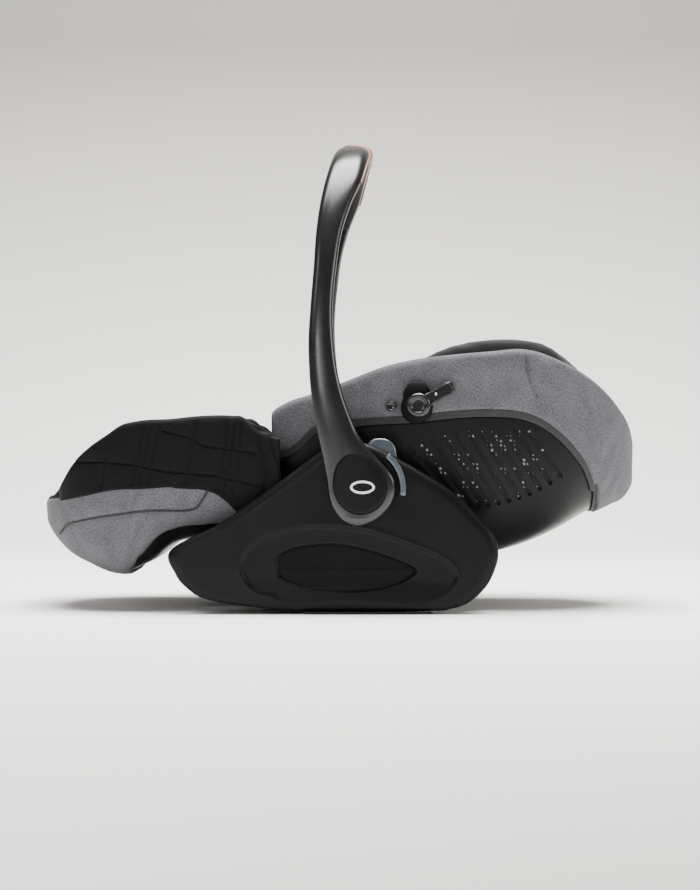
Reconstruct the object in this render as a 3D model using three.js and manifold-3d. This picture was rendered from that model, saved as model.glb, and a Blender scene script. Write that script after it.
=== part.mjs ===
// Lie-flat infant car seat: a base with two side shells, a carrying handle on two hubs, a reclining
// bucket for the child's back and head, a leg section that folds with it, and the harness.
// Millimetres, +Z up. -X is the foot end, +X the head end, and -Y the child's left side.
// The pieces are drawn around the handle's hub axis, which is at X 0, and moved to the origin last.
import * as THREE from "three";
import Module from "manifold-3d";
import { mergeVertices } from "three/addons/utils/BufferGeometryUtils.js";

const wasm = await Module();
wasm.setup();

// Driving dimensions.
const GAP = 0.4; // between pieces that touch
const SIDE_IN = 192; // inner face of a side shell, from the middle plane
const SIDE_THICK = 11; // thickness of a side shell
const SKIN = 4; // wall of the moulded plastic shells
const HUB_Z = 158; // height of the handle's hub axis
const HUB_R = 45; // radius of the handle's hub
const HUB_THICK = 18; // thickness of the handle's hub
const AXLE_R = 8; // hub axle and recline pin
const RUNNING = 0.3; // radial clearance of a shaft in its hole
const HANDLE_TOP = 597; // middle of the handle's bow, at its crown
const HANDLE_BOW = 49; // how far the handle's legs bow towards the feet
const RECLINE = [-95, 130]; // axis that the bucket and the leg section share
const BUCKET_FRONT = -112; // open front end of the bucket
const BUCKET_END = 352; // head end of the bucket's shell
const BUCKET_W = 174; // greatest half-width of the bucket's shell
const LEG_END = -412; // foot end of the leg section
const LEG_REAR = -101; // open rear end of the leg section
const LEG_W = 189; // half-width of the leg section at its rear
const TUB_TOP = 354; // height that the hollow forms are drawn up to
const FOAM = 18; // thickness of the foam under the lining
const LINING = 18; // thickness of the padded lining
const COVER = 6; // thickness of the fabric covers
const SLOTS = 11; // ventilation slots on each side
const SLOT_W = 5.4; // width of a ventilation slot
const FOOT = [-70, 90]; // where the rubber foot starts and ends
const FOOT_H = 3; // thickness of the rubber foot
const HEAD_W = 105; // half-width of the headrest
const STRAP = 2.4; // thickness of the webbing
const STRAP_W = 25; // width of a shoulder strap

// Positions that follow from them.
const SIDE_OUT = SIDE_IN + SIDE_THICK;
const HUB_IN = SIDE_OUT + 0.6;
const HUB_OUT = HUB_IN + HUB_THICK;
const LEG_MID = (HUB_IN + HUB_OUT) / 2;
const FOAM_IN = -(SKIN + GAP + FOAM);
const LINING_OUT = FOAM_IN - GAP;
const LINING_IN = LINING_OUT - LINING;
const LEG_SHELL = -(COVER - 1); // offset of the leg section's plastic shell inside its cover
const SIDES = [["left", -1], ["right", 1]];

const plastic = (color, roughness = 0.55) => new THREE.MeshStandardMaterial({ color, roughness });
const MATERIAL = {
  shell: plastic(0x17181a, 0.5),
  satin: plastic(0x2b2c2f, 0.35),
  insert: plastic(0x0e0e10, 0.6),
  accent: plastic(0x536069, 0.4),
  grey: plastic(0x6c6b70, 0.95),
  black: plastic(0x121216, 0.95),
  dark: plastic(0x39373c, 0.95),
  foam: plastic(0xc9c9c6, 0.9),
  leather: plastic(0xa5673f, 0.6),
  webbing: plastic(0x1b1b1d, 0.9),
  rubber: plastic(0x0f0f10, 0.85),
  red: plastic(0xb3201c, 0.4),
  steel: new THREE.MeshStandardMaterial({ color: 0xb7b9bb, roughness: 0.3, metalness: 1 }),
};

const SLIVER = 1; // shavings of a cut smaller than this many cubic millimetres are dropped
const carrier = new THREE.Group();

// ---- Solids -------------------------------------------------------------------------------

// A closed three.js geometry as a manifold-3d solid.
function solid(geometry) {
  const bare = geometry.index ? geometry.toNonIndexed() : geometry.clone();
  bare.deleteAttribute("normal");
  bare.deleteAttribute("uv");
  const merged = mergeVertices(bare, 1e-3);
  return new wasm.Manifold(new wasm.Mesh({
    numProp: 3,
    vertProperties: merged.attributes.position.array,
    triVerts: new Uint32Array(merged.index.array),
  }));
}

// Adds a manifold-3d solid to the carrier as a named mesh.
function add(name, shape, material) {
  const parts = shape.decompose().filter((part) => part.volume() > SLIVER);
  const made = (parts.length === 1 ? parts[0] : shape).getMesh();
  const geometry = new THREE.BufferGeometry();
  geometry.setAttribute("position", new THREE.BufferAttribute(made.vertProperties, 3));
  geometry.setIndex(new THREE.BufferAttribute(made.triVerts, 1));
  geometry.computeVertexNormals();
  const piece = new THREE.Mesh(geometry, MATERIAL[material]);
  piece.name = name;
  carrier.add(piece);
}

// A smooth closed outline through points, in the side view (x, z).
function smooth(points, closed = true) {
  const curve = new THREE.CatmullRomCurve3(points.map(([x, z]) => new THREE.Vector3(x, z, 0)), closed,
    "centripetal");
  return (count) => curve.getPoints(count).slice(0, closed ? -1 : undefined).map((p) => [p.x, p.y]);
}

// A plate: an outline in the side view, from y0 to y1.
function plate(outline, y0, y1) {
  const shape = new THREE.Shape(outline.map(([x, z]) => new THREE.Vector2(x, z)));
  const [low, high] = [Math.min(y0, y1), Math.max(y0, y1)];
  const geometry = new THREE.ExtrudeGeometry(shape, { depth: high - low, bevelEnabled: false });
  return solid(geometry.rotateX(Math.PI / 2).translate(0, high, 0));
}

// A round disc or pin along Y, at (x, z) in the side view.
function disc(x, z, radius, y0, y1, sides = 24) {
  const length = Math.abs(y1 - y0);
  return solid(new THREE.CylinderGeometry(radius, radius, length, sides).translate(x, (y0 + y1) / 2, z));
}

function box(x0, x1, y0, y1, z0, z1) {
  const geometry = new THREE.BoxGeometry(x1 - x0, Math.abs(y1 - y0), z1 - z0);
  return solid(geometry.translate((x0 + x1) / 2, (y0 + y1) / 2, (z0 + z1) / 2));
}

// A closed solid through rings of points, each ring flat and convex.
function loft(rings) {
  const count = rings[0].length;
  const positions = rings.flat(2);
  const index = [];
  for (let i = 0; i + 1 < rings.length; i += 1) {
    for (let k = 0; k < count; k += 1) {
      const [a, b] = [i * count + k, i * count + ((k + 1) % count)];
      index.push(a, b, b + count, a, b + count, a + count);
    }
  }
  const last = (rings.length - 1) * count;
  for (let k = 1; k + 1 < count; k += 1) {
    index.push(0, k + 1, k, last, last + k, last + k + 1);
  }
  const geometry = new THREE.BufferGeometry();
  geometry.setAttribute("position", new THREE.Float32BufferAttribute(positions, 3));
  geometry.setIndex(index);
  const made = solid(geometry);
  if (made.volume() > 0) return made;
  geometry.setIndex(index.map((_, i) => index[i - (i % 3) + 2 - (i % 3)]));
  return solid(geometry);
}

// A value that runs smoothly through [position, value] pairs.
function along(pairs) {
  return (at) => {
    const next = pairs.findIndex(([position]) => position >= at);
    if (next === 0) return pairs[0][1];
    if (next < 0) return pairs.at(-1)[1];
    const [[p0, v0], [p1, v1]] = [pairs[next - 1], pairs[next]];
    const [before, after] = [pairs[next - 2] ?? [p0, v0], pairs[next + 1] ?? [p1, v1]];
    const t = (at - p0) / (p1 - p0);
    const slope = (a, b) => (b[0] === a[0] ? 0 : ((b[1] - a[1]) / (b[0] - a[0])) * (p1 - p0));
    const [m0, m1] = [slope(before, [p1, v1]), slope([p0, v0], after)];
    return (2 * t ** 3 - 3 * t ** 2 + 1) * v0 + (t ** 3 - 2 * t ** 2 + t) * m0
      + (3 * t ** 2 - 2 * t ** 3) * v1 + (t ** 3 - t ** 2) * m1;
  };
}

// ---- Hollow forms ---------------------------------------------------------------------------

// The bucket's half-width and underside along X, and the same for the leg section.
const bucketWidth = along([[-112, BUCKET_W - 28], [0, BUCKET_W - 19], [75, BUCKET_W - 12.5],
  [130, BUCKET_W - 4], [185, BUCKET_W], [250, BUCKET_W - 8], [295, BUCKET_W - 33],
  [BUCKET_END - 27, BUCKET_W - 62],
  [BUCKET_END - 8, BUCKET_W - 105], [BUCKET_END, BUCKET_W - 134]]);
const bucketUnder = along([[-112, 88], [-60, 72], [0, 62], [60, 60], [120, 66], [175, 80], [227, 97],
  [263, 114], [300, 138], [BUCKET_END - 22, 160], [BUCKET_END, 186]]);
const legWidth = along([[LEG_END, LEG_W - 144], [LEG_END + 9, LEG_W - 104], [LEG_END + 32, LEG_W - 57],
  [LEG_END + 68, LEG_W - 29], [LEG_END + 122, LEG_W - 13], [-200, LEG_W - 4], [LEG_REAR, LEG_W]]);
const legUnder = along([[LEG_END, 112], [LEG_END + 9, 96], [LEG_END + 32, 74], [-350, 58], [-322, 46],
  [-300, 44], [-280, 52], [-262, 61], [-240, 79], [-197, 88], [LEG_REAR, 88]]);

const BUCKET_STATIONS = [-112, -50, 20, 85, 140, 190, 235, 270, 300, 325, 342, BUCKET_END];
const LEG_STATIONS = [LEG_END, LEG_END + 8, LEG_END + 28, -352, -324, -298, -270, -240, -195, LEG_REAR];
const BUCKET_ROUND = 3.4; // how square the sections are: 2 is an ellipse
const LEG_ROUND = 6;
const SECTION = 12; // steps round a section

// The solid inside a tub's wall, grown by offset: superelliptic sections under a flat top.
function tub(stations, width, under, endAt, round, offset) {
  const reach = 150;
  return loft(stations.map((x) => {
    const towardsEnd = Math.max(0, 1 - Math.abs(x - endAt) / reach) ** 2;
    const [w, low] = [width(x) + offset, under(x) - offset];
    const ring = [];
    for (let k = 0; k <= SECTION; k += 1) {
      const turn = (Math.PI * k) / SECTION;
      const c = Math.cos(turn);
      const y = w * Math.sign(c) * Math.abs(c) ** (2 / round);
      const z = TUB_TOP - (TUB_TOP - low) * Math.sin(turn) ** (2 / round);
      ring.push([x + Math.sign(endAt) * offset * towardsEnd, y, z]);
    }
    return ring;
  }));
}
const bucketForm = (offset) => tub(BUCKET_STATIONS, bucketWidth, bucketUnder, BUCKET_END, BUCKET_ROUND,
  offset);
const legForm = (offset) => tub(LEG_STATIONS, legWidth, legUnder, LEG_END, LEG_ROUND, offset);

// The part of the carrier inside a side-view outline.
const WIDE = 400;
const slice = (outline) => plate(outline, -WIDE, WIDE);

// ---- Base -----------------------------------------------------------------------------------

const sideOutline = smooth([[-238, 81], [-232, 50], [-216, 31], [-193, 18.5], [-144, 10], [-86, 4.4],
  [FOOT[1] + 2, 4], [112, 6], [138, 15], [160, 36], [172, 62], [174, 80], [168, 101], [150, 121.5],
    [121, 151], [80, 177.5], [42, 199], [10, 214], [-22, 220], [-50, 204], [-100, 167.5], [-174, 116]])(50)
  .map(([x, z]) => [x, Math.max(z, FOOT_H + GAP)]);
const shrink = (outline, by, [cx, cz]) => outline.map(([x, z]) => {
  const reach = Math.hypot(x - cx, z - cz);
  return [cx + (x - cx) * (1 - by / reach), cz + (z - cz) * (1 - by / reach)];
});
const SIDE_MIDDLE = [-25, 90];
const POCKET_MIDDLE = [-15, 66];
const pocketOutline = smooth([[-150, 65], [-143, 88], [-121, 104], [-80, 111], [-20, 109], [50, 94],
  [100, 72], [120, 55], [118, 38], [100, 25], [60, 22], [-20, 20], [-90, 22], [-132, 34]])(28);
const RIM = 9; // width of a side shell's rim

for (const [side, s] of SIDES) {
  let shell = plate(sideOutline, s * SIDE_IN, s * SIDE_OUT)
    .subtract(plate(shrink(sideOutline, RIM, SIDE_MIDDLE), s * (SIDE_IN - 1), s * (SIDE_OUT - SKIN)));
  for (const [x, z, r] of [[0, HUB_Z, 34], [RECLINE[0], RECLINE[1], 16]]) {
    shell = shell.add(disc(x, z, r, s * SIDE_IN, s * (SIDE_OUT - SKIN + 1)))
      .subtract(disc(x, z, AXLE_R + RUNNING, s * (SIDE_IN - 1), s * (x ? SIDE_OUT - SKIN : SIDE_OUT + 1)));
  }
  shell = shell.subtract(plate(pocketOutline, s * SIDE_IN, s * (SIDE_OUT + 1)));
  add(`side_shell_${side}`, shell, "shell");
  // A dished insert closes the belt pocket from the inside.
  const insert = plate(shrink(pocketOutline, -4, POCKET_MIDDLE), s * (SIDE_IN + 1),
    s * (SIDE_OUT - SKIN - GAP))
    .subtract(plate(shrink(pocketOutline, 32, POCKET_MIDDLE), s * (SIDE_OUT - SKIN - 3), s * SIDE_OUT));
  add(`belt_pocket_${side}`, insert, "insert");
  const foot = box(FOOT[0], FOOT[1], s * SIDE_IN, s * SIDE_OUT, 0, FOOT_H);
  add(`rocker_foot_${side}`, foot, "rubber");
}

// A curved pan joins the two side shells; hooks in the vehicle base reach its bars through four windows.
const PAN_THICK = 5;
const panTop = [[-205, 52], [-175, 27], [-140, 18], [-80, 14], [6, 12], [85, 14], [118, 22], [148, 50]];
const panUnder = panTop.map(([x, z]) => [x, z - PAN_THICK]).reverse();
const BARS = [["front", -140, 40], ["rear", 100, 38]];
const BAR_R = 5;
let pan = plate([...panTop, ...panUnder], -(SIDE_IN - GAP), SIDE_IN - GAP);
for (const [, x] of BARS) {
  for (const y of [-85, 85]) {
    pan = pan.subtract(box(x - 22, x + 22, y - 28, y + 28, 0, 60));
  }
}
add("base_pan", pan, "shell");
for (const [end, x, z] of BARS) {
  add(`lock_bar_${end}`, disc(x, z, BAR_R, -(SIDE_IN - GAP), SIDE_IN - GAP, 20), "steel");
}

// ---- Handle hubs ------------------------------------------------------------------------------

const TEETH = 18;
const RATCHET_R = 30;
const TOOTH = 2.4;
const toothed = (radius, depth) => Array.from({ length: TEETH * 2 }, (_, i) => {
  const r = radius + (i % 2 ? depth : 0);
  const turn = (2 * Math.PI * i) / (TEETH * 2);
  return [r * Math.cos(turn), HUB_Z + r * Math.sin(turn)];
});
const HUB_CAVITY = 36; // radius of the hub's hollow
const LOCK_THICK = 7;
const COVER_R = 34;
const BUTTON = { from: 2, to: 50, inner: HUB_R + 1, outer: 57, thick: 9, travel: 5 };

// A sector of a ring around the hub axis.
function sector(inner, outer, from, to, y0, y1) {
  const steps = 10;
  const arc = (r, a, b) => Array.from({ length: steps + 1 }, (_, i) => {
    const turn = THREE.MathUtils.degToRad(a + ((b - a) * i) / steps);
    return [r * Math.cos(turn), HUB_Z + r * Math.sin(turn)];
  });
  return plate([...arc(outer, from, to), ...arc(inner, to, from)], y0, y1);
}

// The handle's centre line: a superelliptic arch whose legs bow towards the feet.
const ARCH_ROUND = 2.9;
const bowAt = (z) => -HANDLE_BOW * Math.sin((Math.PI * (z - HUB_Z)) / (HANDLE_TOP - HUB_Z + 10));
function archPoint(turn) {
  const z = HUB_Z + (HANDLE_TOP - HUB_Z) * Math.sin(turn) ** (2 / ARCH_ROUND);
  const c = Math.cos(turn);
  return new THREE.Vector3(bowAt(z), LEG_MID * Math.sign(c) * Math.abs(c) ** (2 / ARCH_ROUND), z);
}
// Half-width across the leg, by height above the floor.
const legHalf = along([[190, 33], [212, 27], [248, 21.5], [311, 18], [356, 16], [400, 15.2], [454, 15.6],
  [494, 18], [540, 21], [HANDLE_TOP, 22]]);
const HANDLE_HALF_THICK = 9;
const CROSSBAR_HALF_THICK = 12;

// A length of the arch between two turns, grown by extra.
function archPart(from, to, steps, extra = 0) {
  const sides = 12;
  return loft(Array.from({ length: steps + 1 }, (_, i) => {
    const turn = from + ((to - from) * i) / steps;
    const centre = archPoint(turn);
    const ahead = archPoint(turn + 1e-3).sub(archPoint(turn - 1e-3)).normalize();
    const across = new THREE.Vector3(1, 0, 0).addScaledVector(ahead, -ahead.x).normalize();
    const outward = new THREE.Vector3().crossVectors(ahead, across);
    const crown = Math.sin(turn) ** 6;
    const thick = THREE.MathUtils.lerp(HANDLE_HALF_THICK, CROSSBAR_HALF_THICK, crown) + extra;
    return Array.from({ length: sides }, (__, k) => {
      const round = (2 * Math.PI * k) / sides;
      const [c, n] = [Math.cos(round), Math.sin(round)];
      return centre.clone()
        .addScaledVector(across, (legHalf(centre.z) + extra) * Math.sign(c) * Math.abs(c) ** 0.75)
        .addScaledVector(outward, thick * Math.sign(n) * Math.abs(n) ** 0.75).toArray();
    });
  }));
}
const turnAtHeight = (z) => Math.asin(((z - HUB_Z) / (HANDLE_TOP - HUB_Z)) ** (ARCH_ROUND / 2));
const LEG_SPLIT = turnAtHeight(470); // where a leg meets the bow
const LEG_START = turnAtHeight(186);
const SPLIT_GAP = 0.0012;

for (const [side, s] of SIDES) {
  const mirror = (turn) => (s > 0 ? turn : Math.PI - turn);
  const leg = archPart(mirror(LEG_START), mirror(LEG_SPLIT), 9)
    .add(disc(0, HUB_Z, HUB_R, s * HUB_IN, s * HUB_OUT, 40))
    .subtract(disc(0, HUB_Z, HUB_CAVITY, s * (HUB_IN - 1), s * (HUB_IN + 10), 40))
    .subtract(disc(0, HUB_Z, AXLE_R + RUNNING, s * HUB_IN, s * (HUB_OUT + 1)))
    .subtract(disc(0, HUB_Z, COVER_R + GAP, s * (HUB_OUT - 4), s * (HUB_OUT + 5), 40))
    .subtract(sector(BUTTON.inner - 8, BUTTON.outer + 20, BUTTON.from - 4, BUTTON.to + 4,
      s * (HUB_IN + 2), s * (HUB_IN + 2 + BUTTON.thick + 1)));
  add(`handle_leg_${side}`, leg, "satin");
  add(`hub_cover_${side}`, disc(0, HUB_Z, COVER_R, s * (HUB_OUT - 4 + GAP), s * (HUB_OUT + 1.5), 40),
    "satin");
  add(`hub_axle_${side}`, disc(0, HUB_Z, AXLE_R, s * (SIDE_IN + 1), s * (HUB_OUT - 4.5), 24), "steel");
  // The ratchet ring is fixed to the side shell, and the lock ring turns with the handle.
  const ratchet = plate(toothed(RATCHET_R - TOOTH, TOOTH), s * (SIDE_OUT + GAP), s * (HUB_IN + 3.5))
    .subtract(disc(0, HUB_Z, AXLE_R + 4, s * SIDE_IN, s * HUB_OUT));
  add(`ratchet_ring_${side}`, ratchet, "steel");
  const lock = disc(0, HUB_Z, HUB_CAVITY - GAP, s * (HUB_IN + 4), s * (HUB_IN + 9), 40)
    .subtract(disc(0, HUB_Z, AXLE_R + 3, s * HUB_IN, s * HUB_OUT));
  add(`lock_ring_${side}`, lock, "insert");
  const button = sector(BUTTON.inner, BUTTON.outer, BUTTON.from, BUTTON.to, s * (HUB_IN + 2.5),
    s * (HUB_IN + 2 + BUTTON.thick));
  add(`handle_button_${side}`, button, "accent");
}
const BOW_FROM = LEG_SPLIT + SPLIT_GAP;
const BOW_STEPS = 16;
add("handle_bow", archPart(BOW_FROM, Math.PI - BOW_FROM, BOW_STEPS), "satin");

// A padded leather sleeve on the crossbar.
const GRIP_FROM = 1.22; // turn of the arch where the sleeve starts
const GRIP_THICK = 2.5;
const sleeve = archPart(GRIP_FROM, Math.PI - GRIP_FROM, 10, GRIP_THICK)
  .subtract(archPart(BOW_FROM, Math.PI - BOW_FROM, BOW_STEPS, GAP));
add("grip_sleeve", sleeve, "leather");

// ---- Recline pins and adapter buttons ---------------------------------------------------------------

const LEG_EAR = [171, 177]; // the leg section's ear, outside the bucket's
const BUCKET_EAR = [150, 168];
const EAR_R = 17;
const BOSS_IN = 80; // the bosses start inside the tubs' rounded walls
for (const [side, s] of SIDES) {
  const pin = disc(RECLINE[0], RECLINE[1], AXLE_R, s * (BUCKET_EAR[0] + 2), s * (SIDE_OUT - SKIN - 0.5), 24);
  add(`recline_pin_${side}`, pin, "steel");
}

const ADAPTER_Y = [SIDE_IN - 12, SIDE_IN - 1];
for (const [side, s] of SIDES) {
  const cap = smooth([[8, 206], [10, 214], [22, 221], [36, 219], [42, 212], [46, 202], [44, 190],
    [12, 190]])(26);
  add(`adapter_button_${side}`, plate(cap, s * ADAPTER_Y[0], s * ADAPTER_Y[1]), "accent");
  const well = box(4, 50, s * (SIDE_IN - 15), s * (SIDE_IN - GAP), 150, 198)
    .subtract(box(7, 47, s * (SIDE_IN - 13), s * (SIDE_IN + 5), 158, 199));
  add(`adapter_guide_${side}`, well, "shell");
}

// ---- Bucket ------------------------------------------------------------------------------------

// The cover's top edge and the border between cover and plastic, in the side view.
const coverTop = along([[-122, 246], [-112, 256], [-90, 269], [-66, 276.5], [-23, 292.5], [34, 314],
  [67, 321.5], [121, 328], [170, 332], [206, 333], [239, 324], [266, 311.5], [299, 286], [320, 259],
  [338, 232],
    [350, 205], [362, 172]]);
const border = along([[-122, 196], [-90, 200], [-57, 228], [0, 237.5], [72, 242.3], [120, 247.5],
  [167, 249.4], [203, 246.5], [227, 238.6], [251, 223], [275, 199.3], [292, 175.3], [301, 153.8],
  [304, 138]]);
const steps = (from, to, count) => Array.from({ length: count + 1 }, (_,
  i) => from + ((to - from) * i) / count);
const edge = (height, xs, lift = 0) => xs.map((x) => [x, height(x) + lift]);
const LONG = steps(-122, 362, 22);
const BORDER_LINE = steps(-122, 304, 20);
const below = (height, lift) => slice([[-500, -50], [500, -50], ...edge(height, LONG, lift).reverse(),
  [-500, height(-122) + lift]]);

const RIM_DROP = 9; // the plastic rim lies this far under the top of its cover
const front = box(-500, BUCKET_FRONT, -WIDE, WIDE, -50, 500);
let shell = bucketForm(0).subtract(bucketForm(-SKIN)).intersect(below(coverTop, -RIM_DROP)).subtract(front);
for (let i = 0; i < SLOTS; i += 1) {
  // Slots lean towards the head, between two shallow arcs.
  const share = i / (SLOTS - 1);
  const [x0, x1] = [63.4 + 152 * share, 124.4 + 132 * share];
  const [z0, z1] = [230.5 - 0.0016 * (x0 - 180) ** 2, 135.6 + 0.0031 * (x1 - 147) ** 2];
  const lean = new THREE.Vector2(x1 - x0, z1 - z0).normalize().multiplyScalar(SLOT_W / 2);
  const [nx, nz] = [-lean.y, lean.x];
  shell = shell.subtract(slice([[x0 + nx, z0 + nz], [x0 - lean.x, z0 - lean.y], [x0 - nx, z0 - nz],
    [x1 - nx, z1 - nz], [x1 + lean.x, z1 + lean.y], [x1 + nx, z1 + nz]]));
}
for (const [, s] of SIDES) {
  shell = shell.add(disc(RECLINE[0], RECLINE[1], EAR_R, s * BOSS_IN, s * BUCKET_EAR[1])
    .subtract(bucketForm(-SKIN)))
    .subtract(disc(RECLINE[0], RECLINE[1], AXLE_R + RUNNING, s * BUCKET_EAR[0], s * SIDE_IN));
}
add("bucket_shell", shell, "shell");

const foamLine = BORDER_LINE.slice(0, -1);
const foam = bucketForm(-(SKIN + GAP)).subtract(bucketForm(FOAM_IN))
  .intersect(slice([[-122, -50], [foamLine.at(-1), -50], ...edge(border, foamLine, -3).reverse()]))
  .subtract(box(-500, BUCKET_FRONT + 42, -WIDE, WIDE, -50, 500));
add("bucket_foam", foam, "foam");

// The cover is a channel of padded fabric turned over the plastic rim.
const rimRoom = bucketForm(GAP).subtract(bucketForm(-(SKIN + GAP))).intersect(below(coverTop,
  GAP - RIM_DROP));
const coverRegion = slice([...edge(coverTop, LONG), ...edge(border, BORDER_LINE).reverse()]);
const cover = bucketForm(COVER).subtract(bucketForm(FOAM_IN)).intersect(coverRegion).subtract(rimRoom)
  .subtract(box(-500, BUCKET_FRONT - COVER, -WIDE, WIDE, -50, 500));
add("bucket_cover", cover, "grey");

const LINING_DROP = 16;
const liningForm = bucketForm(LINING_OUT).subtract(bucketForm(LINING_IN)).intersect(below(coverTop,
  -LINING_DROP))
  .subtract(box(-500, BUCKET_FRONT + 46, -WIDE, WIDE, -50, 500));
add("bucket_lining", liningForm, "black");

// The headrest slides along the bucket: a padded wing on each side of a padded back, on a plastic plate.
const HEAD_X = [67, 300];
const HEAD_THICK = 22;
const headTop = along([[HEAD_X[0], 300], [90, 320], [121, 335], [160, 343], [190, 346], [215, 343],
  [240, 334], [270, 316], [HEAD_X[1], 290]]);
const headFloor = along([[HEAD_X[0], 158], [160, 156], [220, 160], [260, 170], [HEAD_X[1], 196]]);
const HEAD_STATIONS = [67, 140, 210, 250, 275, 290, HEAD_X[1]];
const headWidth = along([[67, HEAD_W], [250, HEAD_W], [280, HEAD_W - 12], [HEAD_X[1], HEAD_W - 34]]);
const headForm = (offset) => tub(HEAD_STATIONS, headWidth, headFloor, HEAD_X[1], BUCKET_ROUND, offset);
const headInner = headForm(-HEAD_THICK);
const HEAD_LINE = steps(HEAD_X[0], HEAD_X[1], 12);
const headSide = slice([[HEAD_X[0], 214], [150, 206], [185, 150], [HEAD_X[1], 150], ...edge(headTop,
  HEAD_LINE).reverse()]);
const lined = bucketForm(LINING_IN - GAP);
const pad = headForm(0).subtract(headInner).intersect(headSide).intersect(lined);
add("headrest_pad", pad, "dark");
const plateForm = headForm(3.2).subtract(headForm(GAP)).intersect(slice([[205, 120], [280, 120],
  [280, 215], [205, 215]]))
  .intersect(lined);
add("headrest_plate", plateForm, "shell");

// ---- Canopy brackets -----------------------------------------------------------------------------

const CANOPY = [74, 263]; // axis of the bracket's knob
const CANOPY_Y = BUCKET_W - 1.5; // outer face of the bracket's mount, less the arm's running gap
const CANOPY_IN = BUCKET_W - 14;
const covered = bucketForm(COVER + GAP);
const ARM_LENGTH = 47;
const ARM_WIDTH = 17;
const ARM_TILT = 29.5;
const arm = (() => {
  const half = ARM_WIDTH / 2;
  const turn = THREE.MathUtils.degToRad(ARM_TILT);
  const outline = [[0, -half], [ARM_LENGTH, -half], [ARM_LENGTH + 4, -half + 4], [ARM_LENGTH + 4, half - 4],
    [ARM_LENGTH, half], [0, half]];
  return outline.map(([u, v]) => [CANOPY[0] + u * Math.cos(turn) - v * Math.sin(turn),
    CANOPY[1] + u * Math.sin(turn) + v * Math.cos(turn)]);
})();
for (const [side, s] of SIDES) {
  const mount = disc(CANOPY[0] - 1, CANOPY[1] + 12, 17, s * CANOPY_IN, s * (CANOPY_Y + 3.6), 28)
    .add(disc(CANOPY[0] - 2, CANOPY[1] - 3, 20, s * CANOPY_IN, s * (CANOPY_Y + 3.6), 28))
    .add(disc(CANOPY[0], CANOPY[1], 6, s * CANOPY_Y, s * (CANOPY_Y + 14), 24)).subtract(covered);
  add(`canopy_mount_${side}`, mount, "insert");
  const swing = plate(arm, s * (CANOPY_Y + 4), s * (CANOPY_Y + 11))
    .add(disc(CANOPY[0], CANOPY[1], 15.5, s * (CANOPY_Y + 4), s * (CANOPY_Y + 17), 32))
    .subtract(disc(CANOPY[0], CANOPY[1], 6 + RUNNING, s * CANOPY_Y, s * (CANOPY_Y + 20), 24))
    .subtract(disc(CANOPY[0] + 24, CANOPY[1] + 13.5, 1.6, s * CANOPY_Y, s * (CANOPY_Y + 20), 12));
  add(`canopy_arm_${side}`, swing, "insert");
  add(`press_stud_${side}`, disc(40, 262, 6.5, s * CANOPY_IN, s * (CANOPY_Y - 4.5), 20).subtract(covered),
    "insert");
}

// ---- Leg section ------------------------------------------------------------------------------------

const legTop = along([[-420, 146], [-404, 149], [-390, 160], [-366, 194], [-345, 212], [-322, 227],
  [-305, 238], [-283, 243.3], [-240, 246], [-197, 250], [-161, 250], [-130, 245], [-118, 234],
  [LEG_REAR, 228]]);
const greyTop = along([[-420, 136], [-376, 143], [-317, 154], [-269, 157], [-221, 157.6], [-190, 154],
  [-173, 143.5], [-150, 122]]);
const greyUnder = along([[-296, 30], [-288, 58], [-274, 76], [-257, 95], [-233, 106.3], [-197, 110.4],
  [-150, 114]]);
const LEG_LINE = steps(-420, LEG_REAR, 16);
const GREY_LINE = steps(-420, -150, 14);
const PIN_ROOM = RECLINE[1] + 22; // the sides stop this far above the floor, over the recline pins
const legRear = [[LEG_REAR - 15, 234], [LEG_REAR - 14, 220], [LEG_REAR, 178], [LEG_REAR, PIN_ROOM]];
const legBelow = (drop) => slice([[-500, -50], [LEG_REAR - drop, -50],
  ...[...legRear].reverse().map(([x, z]) => [x - drop, z - drop]),
  ...edge(legTop, LEG_LINE.slice(0, -2), -drop).reverse(), [-500, 100]]);
const legCut = box(LEG_REAR - 18, 0, -WIDE, WIDE, -50, PIN_ROOM); // the floor stops short of the bucket
const LEG_RIM_DROP = 7;
const LEG_LINING = 11;
let legShell = legForm(LEG_SHELL).subtract(legForm(LEG_SHELL - SKIN)).intersect(legBelow(LEG_RIM_DROP))
  .subtract(legCut);
let earRoom = null;
for (const [, s] of SIDES) {
  // A boss stands out from the wall, and a thin ear reaches back from it to the recline pin.
  const hinge = (grow) => {
    const [low, high] = [RECLINE[1] - EAR_R + 2 - grow, RECLINE[1] + EAR_R - 1 + grow];
    const boss = box(LEG_REAR - 48 - grow, LEG_REAR - 15, s * BOSS_IN, s * (LEG_EAR[1] + grow), low, high);
    return box(LEG_REAR - 20, RECLINE[0], s * (LEG_EAR[0] - grow), s * (LEG_EAR[1] + grow), low, high)
      .add(disc(RECLINE[0], RECLINE[1], EAR_R - 1 + grow, s * (LEG_EAR[0] - grow), s * (LEG_EAR[1] + grow)))
      .add(boss.subtract(legForm(LEG_SHELL - SKIN - grow)));
  };
  legShell = legShell.add(hinge(0))
    .subtract(disc(RECLINE[0], RECLINE[1], AXLE_R + RUNNING, s * BUCKET_EAR[1], s * SIDE_IN));
  earRoom = earRoom ? earRoom.add(hinge(GAP)) : hinge(GAP);
}
add("leg_shell", legShell, "shell");

const greyRegion = slice([...edge(greyTop, GREY_LINE, -GAP), ...edge(greyUnder, steps(-296, -150,
  10)).reverse(), [-500, 20]]);
const legSkin = legForm(0).subtract(legForm(LEG_SHELL + GAP));
add("leg_cover", legSkin.intersect(greyRegion).subtract(earRoom), "grey");

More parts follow.
